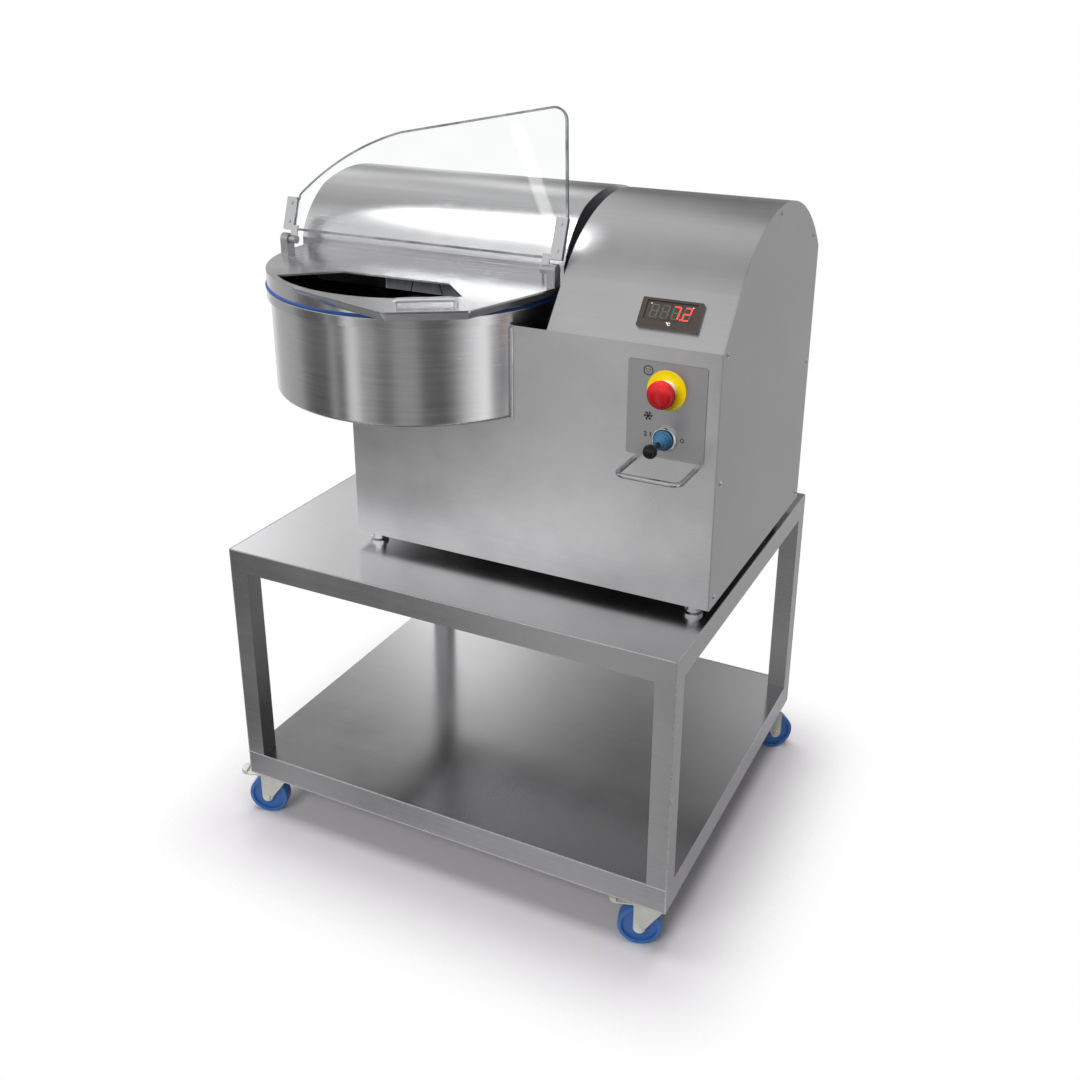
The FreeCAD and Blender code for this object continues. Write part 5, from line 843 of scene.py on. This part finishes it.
def flap_bevel():
    """The polished bevel that runs round the clear flap's front face."""
    bevel = bpy.data.objects.new("flap_bevel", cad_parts["flap"].data.copy())
    bpy.context.collection.objects.link(bevel)
    select_only(bevel)
    bpy.ops.object.mode_set(mode="EDIT")
    bpy.ops.mesh.select_all(action="SELECT")
    bpy.ops.mesh.remove_doubles(threshold=MERGE_DISTANCE)
    bpy.ops.object.mode_set(mode="OBJECT")
    delete_where(bevel, "FACE", lambda face: face.normal.dot(FLAP_OUT) < FACES_FRONT)
    bpy.ops.object.mode_set(mode="EDIT")
    bpy.ops.mesh.select_all(action="SELECT")
    bpy.ops.mesh.dissolve_limited(angle_limit=FLAT_ANGLE)
    bpy.ops.mesh.select_all(action="SELECT")
    bpy.ops.mesh.inset(thickness=BEVEL_WIDE)
    bpy.ops.mesh.delete(type="FACE")
    bpy.ops.mesh.select_all(action="SELECT")
    bpy.ops.mesh.extrude_region_move(TRANSFORM_OT_translate={"value": FLAP_OUT * BEVEL_THICK})
    bpy.ops.object.mode_set(mode="OBJECT")
    settle(bevel, "flap_bevel", IN_PLACE, bevel_grey, "flap")


# Panes of the splash plate: top and bottom of the left edge, then of the right one, along X
PANES = ((-0.2045, -0.2045, -0.1440, -0.1570), (-0.1415, -0.1545, -0.1100, -0.0950),
         (-0.1070, -0.0920, -0.0520, -0.0400))
PANE_THICK = 0.0010
PANE_EDGE = 0.0014


def splash_panes():
    """Dull panes in front of the splash plate, which show in the right half of the filling opening."""
    low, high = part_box("lid_baffle")
    tall = high.z - low.z
    middle = (low.z + high.z) / 2
    panes = []
    for top_left, foot_left, top_right, foot_right in PANES:
        bpy.ops.mesh.primitive_cube_add(size=1, location=(0, low.y - PANE_THICK / 2, middle),
                                        scale=(1, PANE_THICK, tall))
        pane = apply_place(bpy.context.object)
        for vertex in pane.data.vertices:
            top, foot = (top_left, foot_left) if vertex.co.x < 0 else (top_right, foot_right)
            vertex.co.x = top if vertex.co.z > middle else foot
        panes.append(pane)
    settle(joined(panes), "splash_panes", IN_PLACE, pane_grey, "lid")
    bpy.ops.mesh.primitive_cylinder_add(vertices=16, radius=PANE_EDGE / 2, depth=tall,
                                        location=(PANES[0][0] - PANE_EDGE / 2, low.y - PANE_EDGE / 2, middle))
    edge = apply_place(bpy.context.object)
    bpy.ops.object.shade_smooth_by_angle(angle=SMOOTH_ANGLE)
    settle(edge, "splash_pane_edge", IN_PLACE, collar_satin, "lid")


LIP_RADIUS = 0.0026
LIP_IN = 0.001


def seal_lip():
    """The rounded lip of the blue seal, which bulges a little past the lid's edge."""
    low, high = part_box("lid_seal")
    bpy.ops.mesh.primitive_torus_add(major_segments=192, minor_segments=16, minor_radius=LIP_RADIUS,
                                     major_radius=(high.x - low.x) / 2 - LIP_IN, location=(low + high) / 2)
    lip = apply_place(bpy.context.object)
    bpy.ops.object.shade_smooth_by_angle(angle=SMOOTH_ANGLE)
    settle(lip, "seal_lip", IN_PLACE, seal_blue, "lid")


CORNER_ROUND = 0.0013
CORNER_IN = 0.0009


def tube_corners():
    """Thin bright rounds on the outer corners of the stand's tubes and sheets, which catch the light."""
    low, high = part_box("trolley_frame")
    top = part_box("table_top")[1].z
    shelf_low, shelf_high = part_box("shelf")
    xs, ys = (low.x + CORNER_IN, high.x - CORNER_IN), (low.y + CORNER_IN, high.y - CORNER_IN)
    lines = [((x, y, low.z), (x, y, top)) for x in xs for y in ys]
    for z in (top - CORNER_IN, low.z + CORNER_IN):
        lines += [((xs[0], y, z), (xs[1], y, z)) for y in ys]
        lines += [((x, ys[0], z), (x, ys[1], z)) for x in xs]
    lines += [((shelf_low.x, y, shelf_high.z), (shelf_high.x, y, shelf_high.z))
              for y in (shelf_low.y, shelf_high.y)]
    rounds = []
    for start, end in lines:
        run = Vector(end) - Vector(start)
        bpy.ops.mesh.primitive_cylinder_add(vertices=12, radius=CORNER_ROUND,
                                            depth=run.length - 2 * CORNER_IN,
                                            location=(Vector(start) + Vector(end)) / 2,
                                            rotation=run.to_track_quat("Z", "Y").to_euler())
        rounds.append(apply_place(bpy.context.object))
    settle(joined(rounds), "tube_corners", IN_PLACE, corner_bright)
    bpy.ops.object.shade_smooth_by_angle(angle=SMOOTH_ANGLE)


stop_button()
tube_corners()
seal_lip()
flap_bevel()
splash_panes()
display_cells()
display_digits()
display_print()
control_signs()
drum_seam()


scene = bpy.context.scene
scene.view_settings.view_transform = "Standard"
